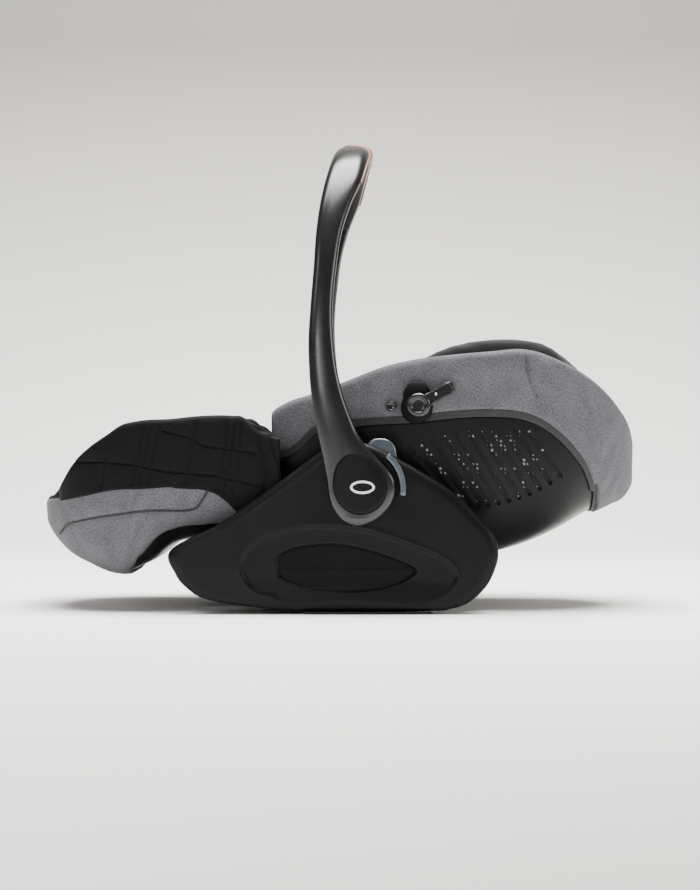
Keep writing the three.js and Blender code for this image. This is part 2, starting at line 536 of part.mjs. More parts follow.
// The quilted cover folds over the rim and lines the inside of the side wings.
const legRim = legForm(LEG_SHELL + GAP).subtract(legForm(LEG_SHELL - SKIN - GAP))
  .intersect(legBelow(LEG_RIM_DROP - GAP));
const quiltRegion = slice([...edge(legTop, LEG_LINE.slice(0, -1)), ...legRear, ...edge(greyTop, GREY_LINE,
  GAP).reverse()]);
const quilt = legForm(0).subtract(legForm(LEG_SHELL - SKIN - LEG_LINING)).intersect(quiltRegion)
  .subtract(legRim)
  .subtract(earRoom).subtract(legCut);
add("quilted_cover", quilt, "black");
const CUSHION = [0.5, 26];
const cushion = legForm(LEG_SHELL - SKIN - CUSHION[0]).subtract(legForm(LEG_SHELL - SKIN - CUSHION[1]))
  .intersect(slice([[-500, 40], [LEG_REAR - 34, 40], [LEG_REAR - 46, 118], ...edge(greyTop, steps(-420,
    -190, 10), -3).reverse()]));
add("leg_cushion", cushion, "black");

// ---- Child insert and harness -------------------------------------------------------------------------

const INSERT_X = [-52, 112];
const INSERT_TOP = 126;
const floorAt = (x) => bucketUnder(x) - LINING_IN;
const insertLine = steps(INSERT_X[0], INSERT_X[1], 8);
const insert = plate([...insertLine.map((x) => [x, floorAt(x) + 1.5 + Math.abs(x - 30) * 0.02]),
  [INSERT_X[1], INSERT_TOP - 4], [INSERT_X[1] - 12, INSERT_TOP], [INSERT_X[0] + 12, INSERT_TOP],
    [INSERT_X[0], INSERT_TOP - 6]], -62, 62);
add("child_insert", insert.intersect(bucketForm(LINING_IN - GAP)), "dark");

const STRAP_Y = (BUCKET_W - 98) / 2; // middle of a shoulder strap
const STRAP_Z = INSERT_TOP + GAP;
const STRAP_EDGE = STRAP_Y + STRAP_W / 2; // outer edge of a shoulder strap
const LAP_Y = BUCKET_W - 96; // where a lap strap reaches the lining
for (const [side, s] of SIDES) {
  const webbing = plate([[-30, STRAP_Z + 9], [-16, STRAP_Z], [106, STRAP_Z], [106, STRAP_Z + STRAP],
    [-15, STRAP_Z + STRAP], [-30, STRAP_Z + 9 + STRAP]],
    s * (STRAP_Y - STRAP_W / 2), s * (STRAP_Y + STRAP_W / 2));
  add(`shoulder_strap_${side}`, webbing, "webbing");
  const z = STRAP_Z + STRAP + GAP;
  const padOutline = [[2, z], [96, z], [98, z + 5], [94, z + 9], [5, z + 9], [0, z + 5]];
  add(`shoulder_pad_${side}`, plate(padOutline, s * (STRAP_Y - 19), s * (STRAP_Y + 19)), "black");
  const tongue = box(-44, -30.4, s * 6, s * STRAP_EDGE, STRAP_Z + 9, STRAP_Z + 12);
  add(`buckle_tongue_${side}`, tongue, "steel");
  const lap = loft([[-40, STRAP_EDGE + 1.5, 9], [-20, STRAP_EDGE + 12.5, 6], [2, LAP_Y, 12]]
    .map(([x, y, rise]) => [x, s * y, STRAP_Z + rise])
    .map(([x, y, z0]) => [[x - 12, y, z0], [x + 12, y, z0],
      [x + 12, y, z0 + STRAP], [x - 12, y, z0 + STRAP]]));
  add(`lap_strap_${side}`, lap, "webbing");
}
const BUCKLE_X = [-86, -45];
const BUCKLE_Z = STRAP_Z + 2;
const BUCKLE_HALF = 22;
const buckle = box(BUCKLE_X[0], BUCKLE_X[1], -BUCKLE_HALF, BUCKLE_HALF, BUCKLE_Z, BUCKLE_Z + 20)
  .subtract(box(BUCKLE_X[0] + 12, BUCKLE_X[1] - 8, -13, 13, BUCKLE_Z + 11, BUCKLE_Z + 25));
add("buckle", buckle, "insert");
add("buckle_button", box(BUCKLE_X[0] + 13, BUCKLE_X[1] - 9, -12.4, 12.4, BUCKLE_Z + 15, BUCKLE_Z + 22),
  "red");
add("crotch_strap", box(-80, -60, -19, 19, floorAt(-80) + 1, BUCKLE_Z - GAP), "webbing");

// ---- Recline lever ----------------------------------------------------------------------------------

const LEVER = { x: 20, z: 46, length: 52, half: 42 };
const lever = plate([[LEVER.x - 6, LEVER.z - 6], [LEVER.x + 10, LEVER.z - 7],
  [LEVER.x + LEVER.length, LEVER.z - 5], [LEVER.x + LEVER.length + 4, LEVER.z],
  [LEVER.x + 10, LEVER.z + 1], [LEVER.x - 6, LEVER.z + 6]],
    -LEVER.half, LEVER.half)
  .subtract(disc(LEVER.x, LEVER.z, 3 + RUNNING, -WIDE, WIDE, 16));
add("recline_lever", lever, "accent");
const bracket = [-1, 1].map((s) => box(LEVER.x - 8, LEVER.x + 8, s * (LEVER.half + 1),
  s * (LEVER.half + 5), LEVER.z - 8, 70));
const leverMount = bracket[0].add(bracket[1]).add(disc(LEVER.x, LEVER.z, 3, -(LEVER.half + 2),
  LEVER.half + 2, 16))
  .subtract(bucketForm(GAP));
add("lever_bracket", leverMount, "shell");

// The origin is under the middle of the carrier, on the surface that it stands on.
const extent = new THREE.Box3().setFromObject(carrier);
carrier.position.set(-(extent.min.x + extent.max.x) / 2, 0, -extent.min.z);

export default carrier;
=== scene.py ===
# Lie-flat infant car seat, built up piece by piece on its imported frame.
# Lengths are in millimetres around the handle's hub axis, and become metres when a mesh is made.
import math

import bmesh
import bpy
import numpy as np
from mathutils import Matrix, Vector


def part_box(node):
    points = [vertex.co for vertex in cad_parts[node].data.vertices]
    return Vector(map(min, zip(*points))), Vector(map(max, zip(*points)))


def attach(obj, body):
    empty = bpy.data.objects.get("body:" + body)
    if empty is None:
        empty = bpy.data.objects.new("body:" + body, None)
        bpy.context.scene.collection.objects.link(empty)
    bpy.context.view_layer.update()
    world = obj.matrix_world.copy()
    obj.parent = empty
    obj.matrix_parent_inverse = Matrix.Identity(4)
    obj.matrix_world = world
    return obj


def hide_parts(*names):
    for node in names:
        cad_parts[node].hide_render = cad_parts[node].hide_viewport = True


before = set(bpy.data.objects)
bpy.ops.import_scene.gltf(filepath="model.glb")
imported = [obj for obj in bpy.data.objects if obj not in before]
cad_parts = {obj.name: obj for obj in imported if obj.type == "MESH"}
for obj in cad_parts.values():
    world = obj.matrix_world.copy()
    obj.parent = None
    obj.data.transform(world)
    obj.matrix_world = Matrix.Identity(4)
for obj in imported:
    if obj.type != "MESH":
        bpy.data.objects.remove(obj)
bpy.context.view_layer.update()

# ---- Room ---------------------------------------------------------------------------------------
# A pale seamless floor that curves up into a wall, large soft lamps overhead and at the sides, and
# a long lens at the height of the seat's middle.
axle_low, axle_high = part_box("hub_axle_left")
HUB_X = 500 * (axle_low[0] + axle_high[0])  # where the hub axis stands along X
HUB_Z = 500 * (axle_low[2] + axle_high[2])


def metres(points):
    """Points in millimetres around the hub axis, as metres: (x + HUB_X, y, z) / 1000."""
    return (np.asarray(points, float) + np.array([HUB_X, 0.0, 0.0])) / 1000.0


def cell_faces(rows, columns, close_rows=False, close_columns=False, first=0):
    """Corner numbers of a grid's cells: cell (i, j) joins (i, j), (i+1, j), (i+1, j+1), (i, j+1)."""
    i = np.arange(rows if close_rows else rows - 1)[:, None]
    j = np.arange(columns if close_columns else columns - 1)[None, :]
    across, down = (i + 1) % rows, (j + 1) % columns
    corners = [i * columns + j, across * columns + j, across * columns + down, i * columns + down]
    return first + np.stack([np.broadcast_to(c, (i.size, j.size)) for c in corners], -1).reshape(-1, 4)


def new_mesh(name, points, faces, uv=None):
    """A mesh object from points in millimetres and lists of corner numbers, with smooth faces."""
    mesh = bpy.data.meshes.new(name)
    mesh.from_pydata(metres(points).tolist(), [], [tuple(face) for face in faces])
    if uv is not None:
        corner = np.empty(len(mesh.loops), np.int32)
        mesh.loops.foreach_get("vertex_index", corner)
        layer = mesh.uv_layers.new(name="cloth")
        layer.data.foreach_set("uv", np.asarray(uv, np.float32)[corner].ravel())
    mesh.polygons.foreach_set("use_smooth", np.ones(len(mesh.polygons), bool))
    piece = bpy.data.objects.new(name, mesh)
    bpy.context.scene.collection.objects.link(piece)
    return piece


def node_graph(name):
    """An empty material, with its shader, its node list and a short way to link two sockets."""
    finish = bpy.data.materials.new(name)
    finish.use_nodes = True
    nodes = finish.node_tree.nodes
    return finish, nodes["Principled BSDF"], nodes, finish.node_tree.links.new


def step_along(points):
    """Distance gone along a row of points, in metres, from 0 at the first."""
    steps = np.linalg.norm(np.diff(points, axis=0), axis=-1)
    return np.concatenate([[0.0], np.cumsum(steps)]) / 1000.0


sweep = np.linspace(0, 1, 60)
bend = np.clip((sweep - 0.55) / 0.25, 0, 1) * math.pi / 2
floor_y = np.where(sweep < 0.55, -4200 + 6000 * sweep / 0.55, 1800 + 1500 * np.sin(bend))
floor_z = 1500 * (1 - np.cos(bend)) + np.clip(sweep - 0.8, 0, 1) * 18000
floor_x = np.linspace(-5200, 5200, 9)
floor_points = np.stack(np.broadcast_arrays(floor_x[None, :], floor_y[:, None], floor_z[:, None]), -1)
floor = new_mesh("floor", floor_points.reshape(-1, 3), cell_faces(60, 9)[:, ::-1])
paper, shader, nodes, link = node_graph("backdrop_paper")
place = nodes.new("ShaderNodeTexCoord")
split = nodes.new("ShaderNodeSeparateXYZ")
# The paper's colour is painted darker with height, from near white on the floor to mid grey high on the
# wall. This painted shade stands in for light that falls off up the wall.
shade_by_height = nodes.new("ShaderNodeMapRange")
shade_by_height.inputs["From Min"].default_value, shade_by_height.inputs["From Max"].default_value = 0.0, 1.3
tone = nodes.new("ShaderNodeValToRGB")
tone.color_ramp.elements[0].color = (0.95, 0.94, 0.925, 1)
tone.color_ramp.elements[1].color = (0.27, 0.262, 0.25, 1)
link(place.outputs["Object"], split.inputs[0])
link(split.outputs["Z"], shade_by_height.inputs["Value"])
link(shade_by_height.outputs[0], tone.inputs["Fac"])
link(tone.outputs["Color"], shader.inputs["Base Color"])
shader.inputs["Roughness"].default_value = 0.9
# The paper has one face: from behind the wall there is nothing, so it hides the seat from no side.
facing = nodes.new("ShaderNodeNewGeometry")
nothing = nodes.new("ShaderNodeBsdfTransparent")
one_sided = nodes.new("ShaderNodeMixShader")
link(facing.outputs["Backfacing"], one_sided.inputs[0])
link(shader.outputs[0], one_sided.inputs[1])
link(nothing.outputs[0], one_sided.inputs[2])
link(one_sided.outputs[0], nodes["Material Output"].inputs["Surface"])
floor.data.materials.append(paper)

sky = bpy.data.worlds.new("room_light")
sky.use_nodes = True
sky.node_tree.nodes["Background"].inputs["Color"].default_value = (0.93, 0.94, 0.96, 1)
sky.node_tree.nodes["Background"].inputs["Strength"].default_value = 0.13
bpy.context.scene.world = sky


def soft_lamp(name, place, target, size, watts, tint=(1, 0.985, 0.96)):
    """A square lamp of a size in metres, at a place, facing a target."""
    lamp = bpy.data.lights.new(name, "AREA")
    lamp.shape, lamp.size, lamp.energy, lamp.color = "SQUARE", size, watts, tint
    holder = bpy.data.objects.new(name, lamp)
    holder.location = place
    holder.rotation_euler = (Vector(target) - Vector(place)).to_track_quat("-Z", "Y").to_euler()
    bpy.context.scene.collection.objects.link(holder)


soft_lamp("lamp_overhead", (0.15, -0.1, 2.5), (0, 0.2, 0.2), 1.7, 118)
soft_lamp("lamp_front_left", (-1.9, -1.9, 1.7), (0, 0, 0.3), 0.9, 9)
soft_lamp("lamp_handle", (-0.44, -2.4, 0.72), (0, -0.2, 0.42), 0.42, 9)
soft_lamp("lamp_right", (2.4, -0.9, 1.0), (0.1, 0, 0.25), 0.9, 22)
soft_lamp("lamp_backdrop", (0.0, 0.4, 3.0), (0, 2.2, 0.1), 2.4, 310)

NEAR_SIDE, CAMERA_AWAY = -213.0, 3000.0
SEEN_HEIGHT = 1112.5  # what the view takes in from top to bottom, at the near side
EYE = (-12.5, NEAR_SIDE - CAMERA_AWAY, 212.75)
camera = bpy.data.cameras.new("camera")
camera.sensor_width, camera.lens = 36.0, 36.0 * CAMERA_AWAY / SEEN_HEIGHT
camera.clip_end = 50
eye = bpy.data.objects.new("camera", camera)
eye.location = metres(EYE)
eye.rotation_euler = (math.pi / 2, 0, 0)
bpy.context.scene.collection.objects.link(eye)
bpy.context.scene.camera = eye

# ---- Side shells --------------------------------------------------------------------------------
# Two injection-moulded side shells, 11 mm deep, with a pillowed rim. A horseshoe step dishes the middle,
# and a matte black insert closes the belt pocket in it. Screwed to the pan from inside.
SIDE_IN, SIDE_OUT = 192.0, 203.0


def spline(points, count, closed=True):
    """A Catmull-Rom curve: between P1 and P2, 0.5 (2 P1 + (P2 - P0) t + (2 P0 - 5 P1 + 4 P2 - P3) t^2
    + (3 P1 - P0 - 3 P2 + P3) t^3), read at evenly spaced places along its whole length."""
    p = np.asarray(points, float)
    p = np.vstack([p[-1:], p, p[:2]]) if closed else np.vstack([2 * p[0] - p[1], p, 2 * p[-1] - p[-2]])
    t = np.linspace(0, 1, 24, endpoint=False)[:, None, None]
    a, b, c, d = p[:-3], p[1:-2], p[2:-1], p[3:]
    fine = 0.5 * (2 * b + (c - a) * t + (2 * a - 5 * b + 4 * c - d) * t ** 2 + (3 * b - a - 3 * c + d)
        * t ** 3)
    fine = fine.transpose(1, 0, 2).reshape(-1, p.shape[1])
    fine = np.vstack([fine, fine[:1] if closed else p[-2:-1]])
    gone = step_along(fine)
    places = np.linspace(0, gone[-1], count, endpoint=not closed)
    return np.stack([np.interp(places, gone, axis) for axis in fine.T], -1)


def ease(low, high, value):
    """0 below low, 1 above high, and 3 t^2 - 2 t^3 between them."""
    t = np.clip((value - low) / (high - low), 0, 1)
    return t * t * (3 - 2 * t)


def distance_to(path, x, z):
    """Shortest distance from each (x, z) to a row of straight pieces in the side view."""
    spot = np.stack([np.ravel(x), np.ravel(z)], -1)
    nearest = np.full(len(spot), 1e9)
    for start, end in zip(path[:-1], path[1:]):
        along = end - start
        share = np.clip(((spot - start) @ along) / max(along @ along, 1e-9), 0, 1)
        nearest = np.minimum(nearest, np.linalg.norm(spot - start - share[:, None] * along, axis=1))
    return nearest.reshape(np.shape(x))


def inside(outline, x, z):
    """True where (x, z) is inside a closed outline, by counting the edges that a line along x crosses."""
    crossings = np.zeros(np.shape(x), bool)
    for (x0, z0), (x1, z1) in zip(outline, np.roll(outline, -1, axis=0)):
        between = (z0 > z) != (z1 > z)
        crossings ^= between & (x < (x1 - x0) * (z - z0) / (z1 - z0 if z1 != z0 else 1e-9) + x0)
    return crossings


def pillow(name, outline, face, back, rim=(4.0, 2.0), rings=24, centre=None, sheer=1.0):
    """A closed plate from a smooth side-view outline. Rings shrink from the outline to its centre. The
    front is at y = face(x, z), less depth (1 - sqrt(1 - (1 - e / width)^2)) within width e of the edge."""
    middle = np.mean(outline, axis=0) if centre is None else np.asarray(centre, float)
    reach = np.linalg.norm(outline - middle, axis=1)
    edge = np.concatenate([rim[0] * (1 - np.cos(np.linspace(0, math.pi / 2, 9)[:-1])), [rim[0]]])
    share = np.concatenate([edge[None, :] / reach[:, None],
        rim[0] / reach[:, None] + (1 - rim[0] / reach[:, None])
        * np.linspace(0, 1, rings + 1)[None, 1:-1] ** sheer], 1)
    flat = middle + (outline - middle)[:, None, :] * (1 - share[..., None])
    inset = np.minimum(share * reach[:, None], rim[0]) / rim[0]
    side = -1.0 if np.mean(back) < 0 else 1.0
    y = face(flat[..., 0], flat[..., 1]) - side * rim[1] * (1
        - np.sqrt(np.clip(1 - (1 - inset) ** 2, 0, 1)))
    front = np.stack([flat[..., 0], y, flat[..., 1]], -1).transpose(1, 0, 2)
    wall = np.stack([outline[:, 0], np.full(len(outline), back), outline[:, 1]], -1)[None]
    rows = np.concatenate([wall, front])
    count = len(outline)
    points = rows.reshape(-1, 3)
    caps = np.array([[middle[0], back, middle[1]], [middle[0], face(*middle[:, None]).item(), middle[1]]])
    faces = cell_faces(len(rows), count, close_columns=True).tolist()
    around = np.arange(count)
    following = (around + 1) % count
    tip, last = len(points), len(points) - count
    faces += np.stack([following, around, np.full(count, tip)], -1).tolist()
    faces += np.stack([last + around, last + following, np.full(count, tip + 1)], -1).tolist()
    piece = new_mesh(name, np.vstack([points, caps]), faces)
    return outward(piece)


def outward(piece):
    """Merges doubled points and turns every face of a closed piece outwards."""
    shape = bmesh.new()
    shape.from_mesh(piece.data)
    bmesh.ops.remove_doubles(shape, verts=shape.verts, dist=1e-6)
    bmesh.ops.recalc_face_normals(shape, faces=shape.faces)
    shape.to_mesh(piece.data)
    shape.free()
    return piece


def grain(finish_parts, size, height, spread=(0.0, 0.0)):
    """Adds a moulded grain of a size in metres and a height in metres, and a roughness that wanders."""
    finish, shader, nodes, link = finish_parts
    place = nodes.new("ShaderNodeTexCoord")
    fine = nodes.new("ShaderNodeTexNoise")
    fine.inputs["Scale"].default_value, fine.inputs["Detail"].default_value = 1.0 / size, 3.0
    bump = nodes.new("ShaderNodeBump")
    bump.inputs["Strength"].default_value, bump.inputs["Distance"].default_value = 0.6, height
    link(place.outputs["Object"], fine.inputs["Vector"])
    link(fine.outputs["Fac"], bump.inputs["Height"])
    link(bump.outputs["Normal"], shader.inputs["Normal"])
    if spread != (0.0, 0.0):
        broad = nodes.new("ShaderNodeTexNoise")
        broad.inputs["Scale"].default_value, broad.inputs["Detail"].default_value = 22.0, 6.0
        ranged = nodes.new("ShaderNodeMapRange")
        ranged.inputs["From Min"].default_value, ranged.inputs["From Max"].default_value = 0.3, 0.7
        ranged.inputs["To Min"].default_value, ranged.inputs["To Max"].default_value = spread
        link(place.outputs["Object"], broad.inputs["Vector"])
        link(broad.outputs["Fac"], ranged.inputs["Value"])
        link(ranged.outputs[0], shader.inputs["Roughness"])
    return finish


def moulded(name, colour, roughness, size=0.0009, height=0.00004, wander=0.06, specular=0.5):
    """Injection-moulded plastic: a fine spark-eroded grain and a roughness that wanders a little."""
    parts = node_graph(name)
    parts[1].inputs["Base Color"].default_value = (*colour, 1)
    parts[1].inputs["Specular IOR Level"].default_value = specular
    return grain(parts, size, height, (roughness - wander, roughness + wander))


def finish_node(node, finish):
    """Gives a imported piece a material."""
    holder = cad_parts[node]
    holder.data.materials.clear()
    holder.data.materials.append(finish)


shell_plastic = moulded("shell_plastic", (0.0042, 0.0043, 0.0046), 0.36, specular=0.11)
inner_plastic = moulded("inner_plastic", (0.0022, 0.0022, 0.0024), 0.60, specular=0.1)
shell_outline = spline([(-238, 81), (-232, 50), (-216, 31), (-193, 18.5), (-144, 10), (-86, 4.4), (0, 3.6),
    (92, 4), (112, 6), (138, 15), (160, 36), (172, 62), (174, 80), (168, 101), (150, 121.5), (121, 151),
    (80, 177.5), (42, 199), (10, 214), (-22, 220), (-50, 204), (-100, 167.5), (-174, 116)], 520)
horseshoe = spline([(-109, 22), (-130, 28), (-145, 42), (-151, 62), (-143, 82), (-121, 98), (-90, 107.5),
    (-56, 112.5), (2, 108), (47, 95), (91, 78), (114, 64), (123, 49), (117, 33), (104, 22), (88, 17)], 160,
    closed=False)
horseshoe_area = np.vstack([horseshoe, [[60, 9], [-80, 12]]])
pocket_outline = spline([(-105, 62), (-104, 74), (-84, 84), (-55, 88.5), (-26, 89), (10, 82), (45, 70),
    (66, 61), (72, 54), (62, 44), (36, 33), (5, 28), (-25, 27.5), (-60, 31), (-90, 40), (-104, 49)], 200)


def hang(piece, body, slot_name, *nodes, padded=False):
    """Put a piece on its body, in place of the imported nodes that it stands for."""
    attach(piece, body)
    if nodes:
        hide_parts(*nodes)


def shell_face(side):
    """The shell's outer face: flat, dished 3.6 mm inside the horseshoe, less towards its open lower side,
    and 4.5 mm deeper inside the belt pocket."""
    def face(x, z):
        within = np.where(inside(horseshoe_area, x, z), 1.0, 0.0)
        step = within * ease(0.0, 5.0, distance_to(horseshoe, x, z)) * ease(14, 44,
            z + 0.02 * np.abs(x + 10))
        lip = (1 - within) * np.exp(-(distance_to(horseshoe, x, z) / 4.0) ** 2) * ease(14, 44, z)
        hollow = np.where(inside(pocket_outline, x, z), 1.0, 0.0) * ease(-0.5, 3.0,
            distance_to(pocket_ring, x, z))
        toward = np.where(within > 0, ease(45, 0, distance_to(pocket_ring, x, z)), 0) * ease(14, 44, z)
        return side * (SIDE_OUT - 2.9 * step + 0.5 * lip - 1.2 * toward - 4.4 * hollow)
    return face


pocket_ring = np.vstack([pocket_outline, pocket_outline[:1]])
for side_name, side in (("left", -1.0), ("right", 1.0)):
    shell = pillow(f"side_moulding_{side_name}", shell_outline, shell_face(side), side * SIDE_IN,
        rim=(15.0, 8.5), rings=120, centre=(-15, 62))
    shell.data.materials.append(shell_plastic)
    hang(shell, "base", "shell", f"side_shell_{side_name}")
    # The belt pocket's insert has a faint ridge across its middle.
    insert = pillow(f"pocket_insert_{side_name}", spline(pocket_outline * 0.965 + (-0.8, 2.1), 160),
        lambda x, z: side * (SIDE_OUT - 7.6 + 0.6 * np.exp(-((z - 54) / 3.5) ** 2)), side * (SIDE_IN + 1),
        rim=(5.0, 1.2))
    insert.data.materials.append(inner_plastic)
    hang(insert, "base", "insert", f"belt_pocket_{side_name}")

# ---- Handle -------------------------------------------------------------------------------------
# One satin arch, bowed towards the feet, that swells into a round hub at each end. A leather strip is
# wrapped over the crossbar's outer side and a rubber pad closes its inner side.
HUB_MID, ARCH_RISE, ARCH_ROUND = 212.6, 439.0, 2.9
arm_height = np.array([111, 113, 116, 122, 133, 145, 158, 170, 180, 190, 196, 205, 212, 225, 243.7, 260,
    275.5, 307, 339, 387, 434.6, 485, 519, 555, 574, 591.5, 597.0])
arm_foot_edge = np.array([-6, -13, -19.5, -26, -33.5, -37.7, -39.7, -41.3, -43.3, -45.3, -46.5, -48.5, -50,
    -52.8, -56.6, -59.2, -61.3, -63.8, -64.8, -62.3, -58.6, -55.2, -50.7, -43.1, -37.8, -31.8, -29])
arm_head_edge = np.array([0, 8, 15, 24, 35, 41.5, 44, 42.5, 36.8, 27.8, 22, 13.5, 7.5, -1.5, -9.8, -16,
    -21, -28.3, -32.3, -34, -30, -22.1, -11.5, 3.4, 8.8, 14.1, 16.5])


def eased(x, table_x, table_y):
    """A curve through table points: cubic pieces whose slope at a point is that of its two neighbours."""
    slope = np.gradient(np.asarray(table_y, float), np.asarray(table_x, float))
    k = np.clip(np.searchsorted(table_x, x) - 1, 0, len(table_x) - 2)
    x0, width = np.asarray(table_x)[k], np.diff(table_x)[k]
    t = np.clip((x - x0) / width, 0, 1)
    y0, y1 = np.asarray(table_y)[k], np.asarray(table_y)[k + 1]
    return ((2 * t ** 3 - 3 * t ** 2 + 1) * y0 + (t ** 3 - 2 * t ** 2 + t) * slope[k] * width
        + (3 * t ** 2 - 2 * t ** 3) * y1 + (t ** 3 - t ** 2) * slope[k + 1] * width)


def arm_section(z):
    """Centre along X, half-width and half-thickness of the arm at a height."""
    foot, head = eased(z, arm_height, arm_foot_edge), eased(z, arm_height, arm_head_edge)
    thick = 9.0 + 3.0 * ease(470, 590, z)
    return (foot + head) / 2, (head - foot) / 2, thick * np.sqrt(np.clip((z - 110.5) / 9.0, 0.02, 1))


def arm_sweep(heights, angles, lift=0.0, round_by=2.5):
    """Sections along the arch. At turn u its middle is (bow, M cos(u)^(2/n), Z + rise sin(u)^(2/n)), and a
    section's point at angle v is across a cos(v)^(2/r) and outwards b sin(v)^(2/r), both grown by lift."""
    near = np.asarray(heights, float)
    z = np.concatenate([near, near[::-1][1:]])
    sine = np.clip((z - HUB_Z) / ARCH_RISE, 0, 1) ** (ARCH_ROUND / 2)
    y = HUB_MID * np.sqrt(np.clip(1 - sine ** 2, 0, 1)) ** (2 / ARCH_ROUND)
    y[:len(near)] *= -1
    middle, half, thick = arm_section(z)
    way = np.stack([np.gradient(y), np.gradient(z)], -1)
    way /= np.linalg.norm(way, axis=1)[:, None]
    c, s = np.cos(np.atleast_2d(angles)), np.sin(np.atleast_2d(angles))
    across = (half[:, None] + lift) * np.sign(c) * np.abs(c) ** (2 / round_by)
    out = (thick[:, None] + lift) * np.sign(s) * np.abs(s) ** (2 / round_by)
    return np.stack([middle[:, None] + across, y[:, None] - way[:, 1:] * out,
        z[:, None] + way[:, :1] * out], -1)


def arch_heights(lowest, count):
    """Heights from lowest to the crown, close together at both ends."""
    turn = np.linspace(math.asin(((max(lowest, HUB_Z + 1) - HUB_Z) / ARCH_RISE) ** (ARCH_ROUND / 2)),
        math.pi / 2, count)
    return HUB_Z + ARCH_RISE * np.sin(turn) ** (2 / ARCH_ROUND)


def closed_tube(name, rings):
    """A closed piece through rings of points, with a fan of faces on each end."""
    rows, count = rings.shape[:2]
    faces = cell_faces(rows, count, close_columns=True).tolist()
    faces += [list(range(count))[::-1], list(range((rows - 1) * count, rows * count))]
    return outward(new_mesh(name, rings.reshape(-1, 3), faces))


satin = moulded("handle_satin", (0.0075, 0.0077, 0.0082), 0.25, size=0.0012, height=0.00001, wander=0.04)
low_heights = HUB_Z - (HUB_Z - 111.0) * np.cos(np.linspace(0, math.pi / 2, 26))
arm_heights = np.concatenate([low_heights, np.arange(160, 300, 3.0), arch_heights(302, 90)])
arch = closed_tube("handle_moulding", arm_sweep(arm_heights,
    np.linspace(0, 2 * math.pi, 56, endpoint=False)))
arch.data.materials.append(satin)
hang(arch, "handle", "satin", "handle_leg_left", "handle_leg_right", "handle_bow")


def band_on_arm(name, heights, start, end, lift, depth, finish, count=40):
    """A strip that lies on the arm between two angles, given in degrees for every height: its outer side
    stands lift proud, and its edges turn down by depth into the arm."""
    edge = np.array([-depth, -0.35 * depth, 0.0])
    lifts = np.concatenate([edge, np.zeros(count - 6), edge[::-1]]) + lift
    start, end = (np.concatenate([v, v[::-1][1:]])[:, None] for v in (start, end))
    angles = np.radians(start + (end - start) * np.linspace(0, 1, count))
    outer = np.stack([arm_sweep(heights, angles[:, k:k + 1], lifts[k])[:, 0] for k in range(count)], 1)
    inner = arm_sweep(heights, angles, lift - depth - 0.8)
    ends = (outer * 0.3 + inner * 0.7)[[0, -1]]
    outer = np.concatenate([ends[:1], outer, ends[1:]])
    inner = np.concatenate([inner[:1], inner, inner[-1:]])
    strip = closed_tube(name, np.concatenate([outer, inner[:, ::-1]], 1))
    strip.data.materials.append(finish)
    return strip


tan_leather, shader, nodes, link = node_graph("tan_leather")
shader.inputs["Roughness"].default_value = 0.52
place = nodes.new("ShaderNodeTexCoord")
pores = nodes.new("ShaderNodeTexVoronoi")
pores.inputs["Scale"].default_value = 900.0
patches = nodes.new("ShaderNodeTexNoise")
patches.inputs["Scale"].default_value, patches.inputs["Detail"].default_value = 60.0, 8.0
tone = nodes.new("ShaderNodeValToRGB")
tone.color_ramp.elements[0].position, tone.color_ramp.elements[0].color = 0.3, (0.17, 0.070, 0.032, 1)
tone.color_ramp.elements[1].position, tone.color_ramp.elements[1].color = 0.75, (0.31, 0.135, 0.062, 1)
bump = nodes.new("ShaderNodeBump")
bump.inputs["Strength"].default_value, bump.inputs["Distance"].default_value = 0.7, 0.0002
for source in (pores, patches):
    link(place.outputs["Object"], source.inputs["Vector"])
link(patches.outputs["Fac"], tone.inputs["Fac"])
link(tone.outputs["Color"], shader.inputs["Base Color"])
link(pores.outputs["Distance"], bump.inputs["Height"])
link(bump.outputs["Normal"], shader.inputs["Normal"])

grip_heights = arch_heights(548, 60)
flare = ease(588, 596.5, grip_heights)
strip = band_on_arm("grip_leather", grip_heights, -9 - 21 * flare, 6 + 120 * flare, 1.3, 1.2, tan_leather)
hang(strip, "handle", "leather", "grip_sleeve")
soft_rubber = moulded("soft_rubber", (0.006, 0.006, 0.0062), 0.78, size=0.0014, height=0.00012,
    specular=0.35)
pad_heights = arch_heights(520, 60)
pad = band_on_arm("grip_underside", pad_heights, 0 * pad_heights - 146, 0 * pad_heights - 36, 1.3, 1.1,
    soft_rubber, 30)
hang(pad, "handle", "rubber")

# ---- Hubs -----------------------------------------------------------------------------------------
# A teardrop cap clips into each hub over the axle, with a plain pale oval ring let into its face. The seam
# around the cap is painted shade: a matte black ring just below the cap's edge. The steel axle, the two
# locking rings and the release button sit behind it.
cap_outline = spline([(0.5, 126.8), (14, 129.5), (26, 138.5), (32.6, 153), (32, 168), (24, 184),
    (10, 195.5), (-5, 200.2), (-18, 198), (-28, 187.5), (-32.6, 172), (-32, 155), (-25.5, 140),
    (-13.5, 130)], 160)
# Matte black that stands in for shade: painted shade in the hub seams and in the crevice under the cover's
# binding.
gap_shade_black = moulded("gap_shade_black", (0.002, 0.002, 0.002), 0.8, specular=0.1)
pale_inlay = moulded("pale_inlay", (0.62, 0.63, 0.64), 0.35)
bright_steel, shader, nodes, link = node_graph("bright_steel")
shader.inputs["Metallic"].default_value = 1.0
shader.inputs["Base Color"].default_value = (0.55, 0.555, 0.56, 1)
grain((bright_steel, shader, nodes, link), 0.0004, 0.00001, (0.22, 0.42))
smoky, shader, nodes, link = node_graph("smoky_button")
shader.inputs["Base Color"].default_value = (0.045, 0.062, 0.078, 1)
shader.inputs["Transmission Weight"].default_value = 0.08
shader.inputs["Coat Weight"].default_value = 0.6
shader.inputs["Coat Roughness"].default_value = 0.12
grain((smoky, shader, nodes, link), 0.0007, 0.00001, (0.20, 0.32))


